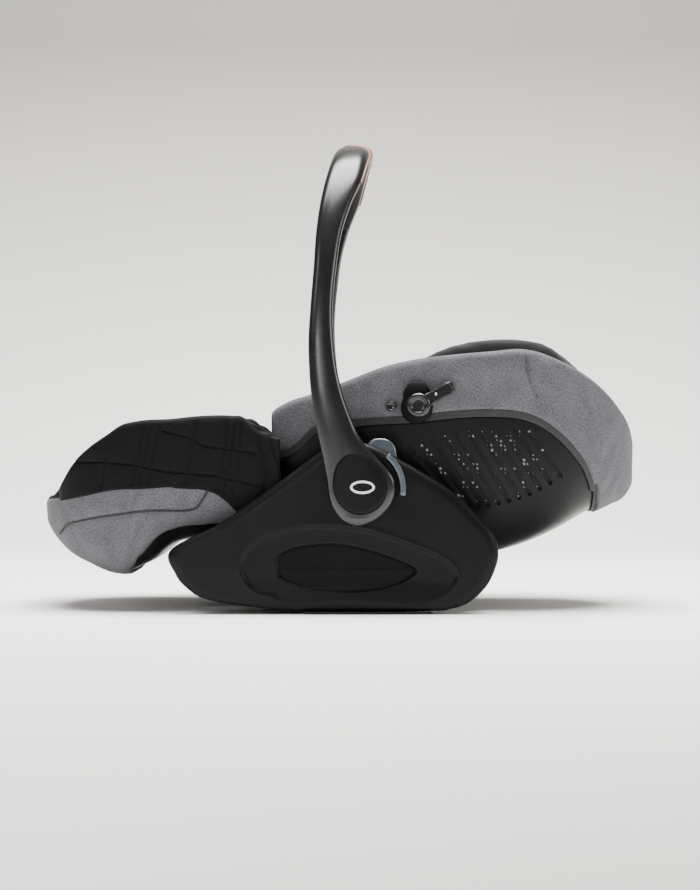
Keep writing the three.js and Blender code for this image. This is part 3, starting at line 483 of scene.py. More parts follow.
def arm_face(side, lift):
    """The arm's outer face: y = M + b (1 - (|x - middle| / a)^r)^(1/r), grown by lift."""
    def face(x, z):
        middle, half, thick = arm_section(z)
        across = np.clip(np.abs(x - middle) / half, 0, 0.999)
        return side * (HUB_MID + thick * (1 - across ** 2.5) ** (1 / 2.5) + lift)
    return face


def ring_sector(name, middle, half, start, end, side):
    """Part of a ring round the hub: a section with rounded corners, radius R + a cos(t)^(2/r) and
    y = Y + b sin(t)^(2/r), swept between two angles in degrees and drawn in over its last 3 degrees."""
    turn = np.concatenate([[start, start + 0.3, start + 1.2], np.linspace(start + 3, end - 3, 30),
        [end - 1.2, end - 0.3, end]])
    size = np.concatenate([[0.62, 0.82, 0.95], np.ones(30), [0.95, 0.82, 0.62]])
    section = oblong(half[0], half[1], 0.0, 36, 4.5)[None] * size[:, None, None]
    radius, turn = middle[0] + section[..., 0], np.radians(turn)[:, None]
    return closed_tube(name, np.stack([radius * np.cos(turn), side * (middle[1] + section[..., 1]),
        HUB_Z + radius * np.sin(turn)], -1))


def oblong(half_across, half_out, centre, count=24, round_by=3.0):
    """A rounded section: across a cos(t)^(2/r), out c + b sin(t)^(2/r)."""
    t = np.linspace(0, 2 * math.pi, count, endpoint=False)
    c, s = np.cos(t), np.sin(t)
    return np.stack([half_across * np.sign(c) * np.abs(c) ** (2 / round_by),
        centre + half_out * np.sign(s) * np.abs(s) ** (2 / round_by)], -1)


turn = np.linspace(0, 2 * math.pi, 72, endpoint=False)
for side_name, side in (("left", -1.0), ("right", 1.0)):
    cap = pillow(f"hub_cap_{side_name}", cap_outline, arm_face(side, 0.7), side * 213.0, rim=(2.6, 1.8),
        rings=26)
    cap.data.materials.append(shell_plastic)
    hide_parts(f"hub_cover_{side_name}")
    # The seam is painted shade: a matte black copy of the cap's outline, 3.4 per cent larger, set just below
    # the cap's face.
    grown = cap_outline + (cap_outline - cap_outline.mean(0)) * 0.034
    seam = pillow(f"hub_seam_{side_name}", grown, arm_face(side, 0.12), side * 213.0, rim=(0.6, 0.3),
        rings=26)
    seam.data.materials.append(gap_shade_black)
    oval = np.stack([15.5 * np.cos(turn), 8.2 * np.sin(turn)], -1)
    hole = oval * (0.80, 0.66)
    lie = arm_face(side, 0.95)
    top_rows = [np.stack([o[:, 0] + 3, lie(o[:, 0] + 3, o[:, 1] + 160) + 0 * turn, o[:, 1] + 160],
        -1) for o in (oval, hole)]
    deep_rows = [row - (0, side * 2.0, 0) for row in top_rows]
    inlay = outward(new_mesh(f"hub_inlay_{side_name}",
        np.concatenate([deep_rows[0], top_rows[0], top_rows[1], deep_rows[1]]),
        cell_faces(4, len(turn), close_rows=True, close_columns=True)))
    inlay.data.materials.append(pale_inlay)
    button = ring_sector(f"release_button_{side_name}", (54.0, 211.4), (3.7, 3.7), -9, 51, side)
    seat = ring_sector(f"button_seat_{side_name}", (46.5, 205.6), (3.8, 1.5), -14, 56, side)
    seat.data.materials.append(inner_plastic)
    button.data.materials.append(smoky)
    hang(button, f"handle_button_{side_name}", "accent", f"handle_button_{side_name}")
    for piece, slot_name in ((cap, "satin"), (seam, "insert"), (inlay, "satin"), (seat, "insert")):
        hang(piece, "handle", slot_name)
    # The adapter's release tab slides in a guide behind the side shell.
    tab = pillow(f"adapter_tab_{side_name}",
        spline([(8, 203), (9.5, 213), (15, 219), (24, 221.3), (35, 219.5), (42.5, 213.5), (46, 203),
        (45, 191), (27, 190), (9, 191)], 110), lambda x, z: side * 190.6 + 0 * x, side * 180.4,
        rim=(3.2, 2.6), rings=14)
    tab.data.materials.append(smoky)
    hang(tab, f"adapter_button_{side_name}", "accent", f"adapter_button_{side_name}")
    for node in ("hub_axle", "ratchet_ring", "recline_pin"):
        finish_node(f"{node}_{side_name}", bright_steel)
    finish_node(f"lock_ring_{side_name}", inner_plastic)
    finish_node(f"adapter_guide_{side_name}", inner_plastic)
    finish_node(f"rocker_foot_{side_name}", soft_rubber)

# ---- Bucket shell ---------------------------------------------------------------------------------
# One injection-moulded polypropylene tub, 4 mm thick, with eleven leaning ventilation slots on each
# side. A black foam liner with pale flecks shows through the slots.
TUB_TOP = 354.0  # height that the hollow forms are drawn up to
bucket_top = ([-122, -112, -90, -66, -23, 34, 67, 121, 170, 206, 230, 249, 275, 303, 332, 350, 366],
    [246, 256, 269, 276.5, 292.5, 314, 321.5, 328, 332, 334.5, 330, 323, 311, 293, 265, 240, 196])
bucket_border = ([-122, -90, -57, 0, 72, 120, 167, 203, 227, 251, 275, 292, 301, 307, 311],
    [196, 200, 228, 237.5, 242.3, 247.5, 249.4, 246.5, 238.6, 223, 199.3, 175.3, 153.8, 134, 20])


def tub_plan(width, under, open_x, mid_x, end_x, nose, round_by, spacing=2.4):
    """A tub's plan, from its open end along the near side, round its nose and back on the far side:
    |y| = width(x), then x = m + (e - m) sin(t)^(2/p) and |y| = W cos(t)^(2/p), at even steps."""
    straight = np.linspace(open_x, mid_x, 400)
    t = np.linspace(0, math.pi / 2, 1200)[1:]
    x = np.concatenate([straight, mid_x + (end_x - mid_x) * np.sin(t) ** (2 / nose)])
    mid_width = eased(np.array([mid_x]), *width)[0]
    w = np.concatenate([eased(straight, *width), mid_width * np.cos(t) ** (2 / nose)])
    w[-1] = 0.0
    gone = 1000 * step_along(np.stack([x, w], -1))
    places = np.linspace(0, gone[-1], int(gone[-1] / spacing))
    x, w = np.interp(places, gone, x), np.interp(places, gone, w)
    plan = {"x": x, "w": w, "along_x": np.gradient(x, places), "along_w": np.gradient(w, places),
        "low": eased(x, *under), "fall": np.gradient(eased(x, *under)) / np.gradient(x), "u": places,
        "side": np.full(len(x), -1.0), "n": round_by, "toward": math.copysign(1.0, end_x - open_x)}
    for key in ("x", "w", "along_x", "along_w", "low", "fall", "side", "u"):
        back = plan[key][::-1][1:]
        plan[key] = np.concatenate([plan[key], {"side": -back, "u": 2 * places[-1] - back}.get(key, back)])
    return plan


def tub(plan, f, offset):
    """Points of a tub, offset along its normal. With f = (T - z) / (T - under) and c = (1 - f^n)^(1/n),
    |y| = w c, and the normal runs along (-c^n w' + f^n under' w / (T - under), +-c^(n-1),
    -f^(n-1) w / (T - under)). f and offset have a row for each place of the plan."""
    n, side = plan["n"], plan["side"][:, None]
    x, w, low = plan["x"][:, None], plan["w"][:, None], plan["low"][:, None]
    c = np.clip(1 - f ** n, 0, 1) ** (1 / n)
    forward = np.abs(plan["along_x"])[:, None]
    normal = np.stack([-c ** n * plan["along_w"][:, None] * plan["toward"]
        + f ** n * plan["fall"][:, None] * w / (TUB_TOP - low) * forward + 1e-7 * plan["toward"],
        side * c ** (n - 1) * forward, -f ** (n - 1) * w / (TUB_TOP - low) * forward - 1e-7], -1)
    normal /= np.linalg.norm(normal, axis=-1, keepdims=True)
    spot = np.stack(np.broadcast_arrays(x, side * w * c, TUB_TOP - f * (TUB_TOP - low)), -1)
    return spot + normal * np.broadcast_to(offset, f.shape)[..., None]


def depth_at(plan, z):
    """f = (T - z) / (T - under), held between 0 and the keel's 1."""
    return np.clip((TUB_TOP - z) / (TUB_TOP - plan["low"]), 0.0, 1.0)


def even_depths(plan, start, end, rows):
    """Rows of f from start to end, evenly spaced along a section 170 wide and 285 deep."""
    n = plan["n"]
    a = np.linspace(0, math.pi / 2, 900)
    gone = step_along(np.stack([170 * np.cos(a) ** (2 / n), 285 * np.sin(a) ** (2 / n)], -1))
    f = np.sin(a) ** (2 / n)
    first, last = np.interp(start, f, gone), np.interp(end, f, gone)
    return np.interp(first[:, None] + (last - first)[:, None] * np.linspace(0, 1, rows), gone, f)


def tub_piece(name, plan, f, offset, keep=None):
    """A closed piece whose sections run from the outer lower edge over the rim to the inner lower edge.
    The lower edges are joined, except where both reach the keel, and the open ends are capped."""
    points = tub(plan, f, offset)
    u = np.broadcast_to(plan["u"][:, None], f.shape)
    if keep is not None:
        points, u, f = points[keep], u[keep], f[keep]
    columns, rows = f.shape
    v = np.concatenate([np.zeros((columns, 1)),
        np.cumsum(np.linalg.norm(np.diff(points, axis=1), axis=-1), axis=1)], 1)
    faces = cell_faces(columns, rows).tolist()
    open_low = f[:, 0] < 1 - 1e-9
    k = np.nonzero(open_low[:-1] | open_low[1:])[0]
    faces += np.stack([k * rows, k * rows + rows - 1, (k + 1) * rows + rows - 1, (k + 1) * rows],
        -1).tolist()
    faces += [list(range(rows)), list(range((columns - 1) * rows, columns * rows))[::-1]]
    uv = np.stack([u, v], -1).reshape(-1, 2) / 1000.0
    return outward(new_mesh(name, points.reshape(-1, 3), faces, uv))


def skin(name, plan, top, bottom, outer, inner, rows=36, keep=None):
    """A wall of a tub between two offsets, from a top line to a bottom line or the keel, round-rimmed."""
    low = depth_at(plan, bottom)
    half = (outer - inner) / 2
    down = even_depths(plan, low, depth_at(plan, top - half), rows)
    around = np.linspace(0, math.pi, 9)[1:-1]
    rim = depth_at({**plan, "low": plan["low"][:, None]}, (top - half)[:, None] + half * np.sin(around))
    f = np.concatenate([down, rim, down[:, ::-1]], 1)
    step = np.concatenate([np.full(rows, outer), (outer + inner) / 2 + half * np.cos(around),
        np.full(rows, inner)])
    return tub_piece(name, plan, f, np.broadcast_to(step, f.shape), keep)


bucket_under = ([-112, -60, 0, 60, 120, 175, 227, 263, 300, 330, 350, 359],
    [88, 72, 62, 60, 63, 71, 87, 104, 125, 138, 150, 163])
bucket_plan = tub_plan(([-122, -112, 0, 75, 130, 185, 215], [144.5, 146, 155, 161.5, 170, 174, 171.5]),
    bucket_under, -112, 215, 359, 2.1, 3.4)
top_line = eased(bucket_plan["x"], *bucket_top)
border_line = eased(bucket_plan["x"], *bucket_border)
keel = np.full(len(top_line), -50.0)
bucket = skin("bucket_moulding", bucket_plan, top_line - 9, keel, 0.0, -4.0, rows=44)
bucket.data.materials.append(shell_plastic)

SLOTS, SLOT_HALF = 11, 2.8
cutters = []
for i in range(SLOTS):
    share = i / (SLOTS - 1)
    x0, x1 = 63.4 + 152 * share, 124.4 + 132 * share
    start = np.array([x0, 230.5 - 0.0016 * (x0 - 180) ** 2])
    end = np.array([x1, 135.6 + 0.0031 * (x1 - 147) ** 2])
    along = (end - start) / np.linalg.norm(end - start)
    turn = np.linspace(math.pi / 2, 3 * math.pi / 2, 9)
    lean = math.atan2(along[1], along[0])
    tip = SLOT_HALF * np.stack([np.cos(turn + lean), np.sin(turn + lean)], -1)
    outline = np.concatenate([start + tip, end - tip])
    for side in (-1.0, 1.0):
        rings = [np.stack([outline[:, 0], np.full(len(outline), side * y), outline[:, 1]], -1)
            for y in (60.0, 200.0)]
        cutters.append(closed_tube("slot_cutter", np.stack(rings)))
for cutter in cutters[1:]:
    shape = bmesh.new()
    shape.from_mesh(cutters[0].data)
    shape.from_mesh(cutter.data)
    shape.to_mesh(cutters[0].data)
    shape.free()
    bpy.data.objects.remove(cutter)
cut = bucket.modifiers.new("slots", "BOOLEAN")
cut.operation, cut.solver, cut.object = "DIFFERENCE", "EXACT", cutters[0]
graph = bpy.context.evaluated_depsgraph_get()
pierced = bpy.data.meshes.new_from_object(bucket.evaluated_get(graph))
bucket.modifiers.clear()
bucket.data = pierced
pierced.set_sharp_from_angle(angle=math.radians(34))
bpy.data.objects.remove(cutters[0])
hang(bucket, "bucket", "shell", "bucket_shell")

flecked, shader, nodes, link = node_graph("flecked_foam")
shader.inputs["Roughness"].default_value = 0.85
place = nodes.new("ShaderNodeTexCoord")
spots = nodes.new("ShaderNodeTexVoronoi")
spots.inputs["Scale"].default_value, spots.inputs["Randomness"].default_value = 170.0, 0.15
patches = nodes.new("ShaderNodeTexNoise")
patches.inputs["Scale"].default_value = 45.0
share = nodes.new("ShaderNodeMath")
share.operation = "MULTIPLY_ADD"
share.inputs[1].default_value, share.inputs[2].default_value = 1.1, -0.34
fleck = nodes.new("ShaderNodeMath")
fleck.operation = "LESS_THAN"
blend = nodes.new("ShaderNodeMix")
blend.data_type = "RGBA"
blend.inputs["A"].default_value = (0.004, 0.004, 0.0045, 1)
blend.inputs["B"].default_value = (0.30, 0.30, 0.29, 1)
link(place.outputs["Object"], spots.inputs["Vector"])
link(place.outputs["Object"], patches.inputs["Vector"])
link(patches.outputs["Fac"], share.inputs[0])
link(spots.outputs["Distance"], fleck.inputs[0])
link(share.outputs[0], fleck.inputs[1])
link(fleck.outputs[0], blend.inputs["Factor"])
link(blend.outputs["Result"], shader.inputs["Base Color"])
behind = skin("foam_liner", bucket_plan, border_line - 3, keel, -4.6, -9.5, rows=30,
    keep=bucket_plan["x"] > -66)
behind.data.materials.append(flecked)
hang(behind, "bucket", "foam", "bucket_foam")

# ---- Bucket cover ---------------------------------------------------------------------------------
# Melange grey polyester over 5 mm foam, pulled over the shell's rim and hooked inside. A flat dark-grey
# binding finishes its lower edge, and a dart takes in the fullness behind the headrest.


def woven(name, tones, sheen, yarn=1500.0, depth=0.00012, rough=0.86, specular=0.25):
    """A woven cloth on its own map: threads across and along, and tones from dark to light that wander
    from thread to thread."""
    finish, shader, nodes, link = node_graph(name)
    shader.inputs["Roughness"].default_value = rough
    shader.inputs["Specular IOR Level"].default_value = specular
    shader.inputs["Sheen Weight"].default_value, shader.inputs["Sheen Roughness"].default_value = sheen, 0.45
    cloth = nodes.new("ShaderNodeUVMap")
    cloth.uv_map = "cloth"
    layers = []
    for scale, stretch in ((yarn * 0.55, (1.0, 0.32, 1.0)), (yarn * 0.75, (0.30, 1.0, 1.0)),
            (38.0, (1.0, 1.0, 1.0))):
        drawn = nodes.new("ShaderNodeMapping")
        drawn.inputs["Scale"].default_value = stretch
        noise = nodes.new("ShaderNodeTexNoise")
        noise.inputs["Scale"].default_value, noise.inputs["Detail"].default_value = scale, 3.0
        link(cloth.outputs["UV"], drawn.inputs["Vector"])
        link(drawn.outputs["Vector"], noise.inputs["Vector"])
        layers.append(noise)
    mixed = nodes.new("ShaderNodeMath")
    mixed.operation = "ADD"
    link(layers[0].outputs["Fac"], mixed.inputs[0])
    link(layers[1].outputs["Fac"], mixed.inputs[1])
    wander = nodes.new("ShaderNodeMath")
    wander.operation = "MULTIPLY_ADD"
    wander.inputs[1].default_value = 0.35
    link(layers[2].outputs["Fac"], wander.inputs[0])
    link(mixed.outputs[0], wander.inputs[2])
    ranged = nodes.new("ShaderNodeMapRange")
    ranged.inputs["From Min"].default_value, ranged.inputs["From Max"].default_value = 0.80, 1.55
    tone = nodes.new("ShaderNodeValToRGB")
    tone.color_ramp.elements[0].color, tone.color_ramp.elements[1].color = (*tones[0], 1), (*tones[1], 1)
    link(wander.outputs[0], ranged.inputs["Value"])
    link(ranged.outputs[0], tone.inputs["Fac"])
    link(tone.outputs["Color"], shader.inputs["Base Color"])
    bump = nodes.new("ShaderNodeBump")
    bump.inputs["Strength"].default_value, bump.inputs["Distance"].default_value = 0.5, depth
    link(mixed.outputs[0], bump.inputs["Height"])
    link(bump.outputs["Normal"], shader.inputs["Normal"])
    return finish


melange = woven("melange_grey", ((0.012, 0.0118, 0.0145), (0.165, 0.162, 0.182)), 0.05, yarn=1900)
binding_cloth = woven("binding_cloth", ((0.012, 0.0115, 0.0135), (0.050, 0.049, 0.054)), 0.06, yarn=2600)


def crease(path, x, z, depth, width):
    """How far a sewn line pulls the cloth in: depth exp(-(d / width)^2), d being how far the line is."""
    return depth * np.exp(-(distance_to(np.asarray(path, float), x, z) / width) ** 2)


fabric_low = depth_at(bucket_plan, border_line + 9.0)
fabric_top = depth_at(bucket_plan, top_line - 11.0)
COVER_ROWS = 90
wall = np.minimum(even_depths(bucket_plan, np.ones(len(top_line)), fabric_top, COVER_ROWS),
    fabric_low[:, None])
around = np.linspace(0, math.pi, 19)[1:-1]
roll_z = (top_line - 11)[:, None] + 11 * np.sin(around) ** 0.75
column = {**bucket_plan, "low": bucket_plan["low"][:, None]}
inside_z = top_line[:, None] - np.linspace(11, 66, 12)
inner_wall = np.minimum(depth_at(column, inside_z), 0.965)
hidden_z = top_line[:, None] - np.linspace(62, 12, 6)
hidden_wall = np.minimum(depth_at(column, hidden_z), 0.955)
over_rim = depth_at(column, (top_line - 8.3)[:, None] + np.zeros(3))
under_cloth = even_depths(bucket_plan, depth_at(bucket_plan, top_line - 12), fabric_low, 12)
cover_f = np.concatenate([wall, depth_at(column, roll_z), inner_wall, hidden_wall, over_rim, under_cloth],
    1)
cover_d = np.concatenate([np.full(COVER_ROWS, 5.7),
    -8.3 + 14.0 * np.sign(np.cos(around)) * np.abs(np.cos(around)) ** 0.85, np.full(12, -22.3),
    np.full(6, -19.8), [-19.8, -8.0, 0.6], np.full(12, 0.6)])
cover_d = np.tile(cover_d, (len(top_line), 1))
spots = tub(bucket_plan, wall, 0.0)
above_edge = np.clip((spots[..., 2] - border_line[:, None] - 9.0) / 16.0, 0, 1)
cover_d[:, :COVER_ROWS] -= 3.3 * (1 - np.sqrt(above_edge))
dart = [(208, 332), (209.5, 322), (212, 305), (217, 289), (224, 275)]
cover_d[:, :COVER_ROWS] -= crease(dart, spots[..., 0], spots[..., 2], 3.8, 2.3)
x_of, z_of = spots[..., 0], spots[..., 2]
cover_d[:, :COVER_ROWS] += 0.55 * np.sin(x_of / 17 + z_of / 29) * np.sin(x_of / 41 - z_of / 19) * above_edge
cover_d[:, :COVER_ROWS] += 2.2 * np.exp(-((x_of - 228 + (300 - z_of) * 0.12) / 11) ** 2) * ease(262, 292,
    z_of)
fabric = tub_piece("bucket_fabric", bucket_plan, cover_f, cover_d)
fabric.data.materials.append(melange)
hang(fabric, "bucket", "grey", "bucket_cover", padded=True)


def edge_path(plan, line, spacing=3.0):
    """A line of heights over a tub, from the near open end across the keel to the far one, with the
    tub's normals: read finely, then at even steps along it."""
    half = len(plan["x"]) // 2 + 1
    fine = np.linspace(plan["x"][0], plan["x"][half - 1], 60000)
    near = {"n": plan["n"], "toward": plan["toward"], "x": fine, "side": np.full(len(fine), -1.0)}
    for key in ("w", "along_x", "along_w", "low", "fall"):
        order = np.argsort(plan["x"][:half])
        near[key] = np.interp(fine, plan["x"][:half][order], plan[key][:half][order])
    f = (TUB_TOP - line(fine)) / (TUB_TOP - near["low"])
    stop = np.argmax(f >= 1) if (f >= 1).any() else len(f)
    f = np.clip(f, 0, 1)[:, None]
    spot, lifted = tub(near, f, 0.0)[:stop + 1, 0], tub(near, f, 1.0)[:stop + 1, 0]
    gone = 1000 * step_along(spot)
    places = np.linspace(0, gone[-1], max(int(gone[-1] / spacing), 3))
    spot = np.stack([np.interp(places, gone, axis) for axis in spot.T], -1)
    normal = np.stack([np.interp(places, gone, axis) for axis in (lifted[:, k] for k in range(3))],
        -1) - spot
    flip = np.array([1.0, -1.0, 1.0])
    return (np.concatenate([spot, spot[::-1][1:] * flip]),
        np.concatenate([normal, normal[::-1][1:] * flip]))


def edge_strip(name, path, normals, section):
    """A section of (across, out) points carried along a path on a surface; across is normal x way."""
    way = np.gradient(path, axis=0)
    normals = normals / np.linalg.norm(normals, axis=1)[:, None]
    across = np.cross(normals, way)
    across /= np.linalg.norm(across, axis=1)[:, None]
    section = np.asarray(section, float)
    rings = path[:, None] + across[:, None] * section[None, :, :1] + normals[:, None] * section[None, :, 1:]
    count = len(section)
    faces = cell_faces(len(path), count, close_columns=True).tolist()
    faces += [list(range(count))[::-1], list(range((len(path) - 1) * count, len(path) * count))]
    u = np.broadcast_to(step_along(path)[:, None], rings.shape[:2])
    v = np.broadcast_to(section[:, 0] / 1000.0, rings.shape[:2])
    return outward(new_mesh(name, rings.reshape(-1, 3), faces, np.stack([u, v], -1).reshape(-1, 2)))


def border_height(x):
    return eased(x, *bucket_border)


band_path, band_normals = edge_path(bucket_plan, lambda x: border_height(x) + 4.4)
binding = edge_strip("cover_binding", band_path, band_normals, oblong(5.2, 1.0, 1.5))
binding.data.materials.append(binding_cloth)
# A thin matte black line just under the binding's lower edge is painted shade in the crevice between the
# binding and the shell.
line_path, line_normals = edge_path(bucket_plan, lambda x: border_height(x) - 1.6)
binding_shade_line = edge_strip("cover_edge_line", line_path, line_normals, oblong(1.1, 0.9, 0.9, count=12))
binding_shade_line.data.materials.append(gap_shade_black)
for piece in (binding, binding_shade_line):
    hang(piece, "bucket", "grey")

# ---- Leg section ----------------------------------------------------------------------------------
# A second moulded tub that folds on the recline pins. Its lower half wears melange cloth with a piped
# seam, and a quilted black cover is stretched over its rim and side wings.
leg_top = ([-420, -404, -390, -366, -345, -322, -305, -283, -240, -197, -161, -130, -118, -101],
    [146, 149, 160, 194, 212, 227, 238, 243.3, 246, 250, 250, 245, 234, 228])
leg_under = ([-415, -403, -380, -350, -322, -300, -280, -262, -240, -197, -101],
    [112, 96, 74, 58, 46, 44, 52, 61, 79, 88, 88])
cloth_top = ([-420, -376, -317, -269, -221, -190, -173, -150, -101],
    [136, 143, 154, 157, 157.6, 154, 143.5, 122, 104])
cloth_under = ([-300, -296, -288, -274, -257, -233, -197, -150, -101],
    [-40, 30, 58, 76, 95, 106.3, 110.4, 114, 112])
leg_plan = tub_plan(([-200, -101], [185, 189]), leg_under, -101, -200, -415, 2.7, 6.0)
leg_x = leg_plan["x"]
leg_rim = eased(leg_x, *leg_top)
grey_top, grey_low = eased(leg_x, *cloth_top), eased(leg_x, *cloth_under)
grey_low = np.where(leg_x < -297.5, -50.0, grey_low)
legs = skin("leg_moulding", leg_plan, leg_rim - 8, np.full(len(leg_x), -50.0), -4.6, -8.8, rows=40)
legs.data.materials.append(shell_plastic)
hang(legs, "leg_section", "shell", "leg_shell")

ROWS = 80
wall = even_depths(leg_plan, np.ones(len(leg_x)), depth_at(leg_plan, grey_top + 4), ROWS)
wall = np.minimum(wall, depth_at(leg_plan, grey_low)[:, None])
around = np.linspace(-0.45, 0.45, 5) * math.pi
leg_f = np.concatenate([wall, np.repeat(wall[:, -1:], 5, 1), wall[:, ::-1]], 1)
spots = tub(leg_plan, wall, 0.0)
above_low = np.clip((spots[..., 2] - grey_low[:, None]) / 9.0, 0, 1)
under_top = np.clip((grey_top[:, None] + 4 - spots[..., 2]) / 4.0, 0, 1)
seam_line = spline([(-389, 97.8), (-376, 110.3), (-352, 116.5), (-317, 122.8), (-268, 129), (-226, 129),
    (-210, 131.5), (-202, 139), (-191, 157)], 60, closed=False)
seam_room = crease(seam_line, spots[..., 0], spots[..., 2], 1.5, 2.6)
dart_room = crease([(-221, 127), (-229, 119), (-238, 104), (-243, 98)], spots[..., 0], spots[..., 2], 1.7,
    2.4)
swell = -1.8 + 2.0 * np.sqrt(above_low * under_top)
ripple = 0.5 * np.sin(spots[..., 0] / 23 + spots[..., 2] / 15) * np.sin(spots[..., 2] / 24 - spots[..., 0]
    / 31)
outer = swell + (ripple - seam_room - dart_room) * above_low
leg_d = np.concatenate([outer, -2.9 - 0.9 * np.sin(around) + np.zeros((len(leg_x), 5)),
    np.full_like(outer, -4.3)], 1)
grey_cloth = tub_piece("leg_fabric", leg_plan, leg_f, leg_d, keep=leg_x < -148)
grey_cloth.data.materials.append(melange)
hang(grey_cloth, "leg_section", "grey", "leg_cover", padded=True)


def lie_on_leg(x_path, z_path):
    """Points on the leg tub's near side at (x, z), with the normals there."""
    half = len(leg_x) // 2 + 1
    order = np.argsort(leg_x[:half])
    spot_plan = {"n": leg_plan["n"], "toward": leg_plan["toward"], "x": x_path,
        "side": np.full(len(x_path), -1.0)}
    for key in ("w", "along_x", "along_w", "low", "fall"):
        spot_plan[key] = np.interp(x_path, leg_x[:half][order], leg_plan[key][:half][order])
    f = ((TUB_TOP - z_path) / (TUB_TOP - spot_plan["low"]))[:, None]
    base, lifted = tub(spot_plan, f, 0.0)[:, 0], tub(spot_plan, f, 1.0)[:, 0]
    return base, lifted - base


for side_name, side in (("left", 1.0), ("right", -1.0)):
    fine_line = spline(seam_line, 240, closed=False)
    base, normals = lie_on_leg(fine_line[:, 0], fine_line[:, 1])
    turn_side = np.array([1.0, side, 1.0])
    cord = edge_strip(f"leg_piping_{side_name}", base * turn_side, normals * turn_side,
        oblong(1.35, 1.3, -0.1, count=12, round_by=2.0))
    cord.data.materials.append(binding_cloth)
    hang(cord, "leg_section", "grey")

# The quilted cover: panels of wadding between stitched lines, rolled over the rim and down inside.
quilting = woven("quilted_black", ((0.0018, 0.0018, 0.0022), (0.0065, 0.0063, 0.008)), 0.02, yarn=1800,
    rough=0.7, specular=0.09)
half = len(leg_x) // 2 + 1
by_x = np.argsort(leg_x[:half])


def gone_at(x):
    """Distance gone round the plan, from the open end, to each x."""
    return np.interp(x, leg_x[:half][by_x], leg_plan["u"][:half][by_x])


nose_u = leg_plan["u"][half - 1]
uprights = [((-328.8, 157.7), (-322, 196)), ((-289, 160), (-271.4, 242.6)), ((-280, 160), (-264.2, 242.6)),
    ((-270, 160), (-252.3, 242.6)), ((-221.2, 160), (-206.8, 245)), ((-179.3, 152.9), (-166.2, 239)),
    ((-171, 152.9), (-154.2, 239)), ((-159, 152.9), (-142.3, 239)), ((-121, 150), (-112, 239))]
# Each stitched line is a row of (distance gone, height); those round the nose are added one by one.
stitches = [np.array([[gone_at(x), z] for x, z in line]) for line in uprights]
for place in (-118, -104, -90, -30, 0):
    stitches.append(np.array([[nose_u + place, 120.0], [nose_u + place * 0.97, 250.0]]))
level = [(-326.4, 191.1), (-288.2, 187.6), (-245.1, 179.2), (-185.3, 174.4), (-118.3, 160.1)]
upper = [(-250, 231), (-214, 222), (-197, 211.5), (-125.5, 203)]
stitches.append(np.array([[nose_u + 5, 190.0]] + [[gone_at(x), z] for x, z in level]))
stitches.append(np.array([[gone_at(x), z] for x, z in upper]))

quilt_low = grey_top - 1.5
QUILT_ROWS, INSIDE_ROWS = 76, 40
wall = even_depths(leg_plan, depth_at(leg_plan, quilt_low), depth_at(leg_plan, leg_rim - 8.5), QUILT_ROWS)
column = {**leg_plan, "low": leg_plan["low"][:, None]}
around = np.linspace(0, math.pi, 19)[1:-1]
roll_f = depth_at(column, (leg_rim - 8.5)[:, None] + 8.5 * np.sin(around) ** 0.8)
drop = np.minimum(95.0, 0.62 * (leg_rim - leg_plan["low"]))
inner_f = np.minimum(depth_at(column, (leg_rim - 8.5)[:, None] - drop[:, None]
    * np.linspace(0, 1, INSIDE_ROWS)), 0.985)
back_f = np.minimum(depth_at(column, (leg_rim - 8.5)[:, None] - drop[:, None]
    * np.linspace(0.98, 0.02, 8)), 0.98)
over_f = depth_at(column, (leg_rim - 7.4)[:, None] + np.zeros(3))
under_f = even_depths(leg_plan, depth_at(leg_plan, leg_rim - 10), depth_at(leg_plan, quilt_low), 12)
quilt_f = np.concatenate([wall, roll_f, inner_f, back_f, over_f, under_f], 1)
climb = np.linspace(0, 1, QUILT_ROWS)
outer = np.broadcast_to(-3.4 + 3.6 * np.sqrt(np.clip(climb / 0.07, 0, 1)), (len(leg_x), QUILT_ROWS)).copy()
roll_d = np.broadcast_to(-9.8 + 10.0 * np.sign(np.cos(around)) * np.abs(np.cos(around)) ** 0.85,
    roll_f.shape).copy()
inner_d = np.full(inner_f.shape, -19.8)
spots = tub(leg_plan, np.concatenate([wall, roll_f, inner_f], 1), 0.0)
u_half = np.minimum(leg_plan["u"], 2 * nose_u - leg_plan["u"])[:, None] + np.zeros_like(spots[..., 0])
pull = np.zeros_like(u_half)
for line in stitches:
    pull = np.maximum(pull, crease(line, u_half, spots[..., 2], 1.0, 1.9))
    pull = np.maximum(pull, crease(line, u_half, spots[..., 2], 0.42, 8.0))
wadding = 1.1 * np.sin(u_half / 13.0) * np.sin(spots[..., 2] / 11.0) * 0.3
outer += 1.0 - 3.8 * pull[:, :QUILT_ROWS] * ease(0.05, 0.11, climb) + wadding[:, :QUILT_ROWS]
raised = ease(-240, -232, spots[:, :QUILT_ROWS, 0]) * ease(150, 156, spots[:, :QUILT_ROWS, 2])
outer += 1.1 * raised
roll_d += 1.0 - 1.6 * pull[:, QUILT_ROWS:QUILT_ROWS + 17]
inner_d += 2.4 * pull[:, QUILT_ROWS + 17:]
tuck = 2.6 * ease(-380, -400, leg_x)[:, None]
outer -= tuck
roll_d -= tuck * (np.cos(around) > 0)
lap = np.array([-17.2, -11.0, -4.2])
quilt_d = np.concatenate([outer, roll_d, inner_d, np.full(back_f.shape, -17.4),
    np.tile(lap, (len(leg_x), 1)), np.full(under_f.shape, -4.2)], 1)
quilt = tub_piece("quilted_shell", leg_plan, quilt_f, quilt_d)
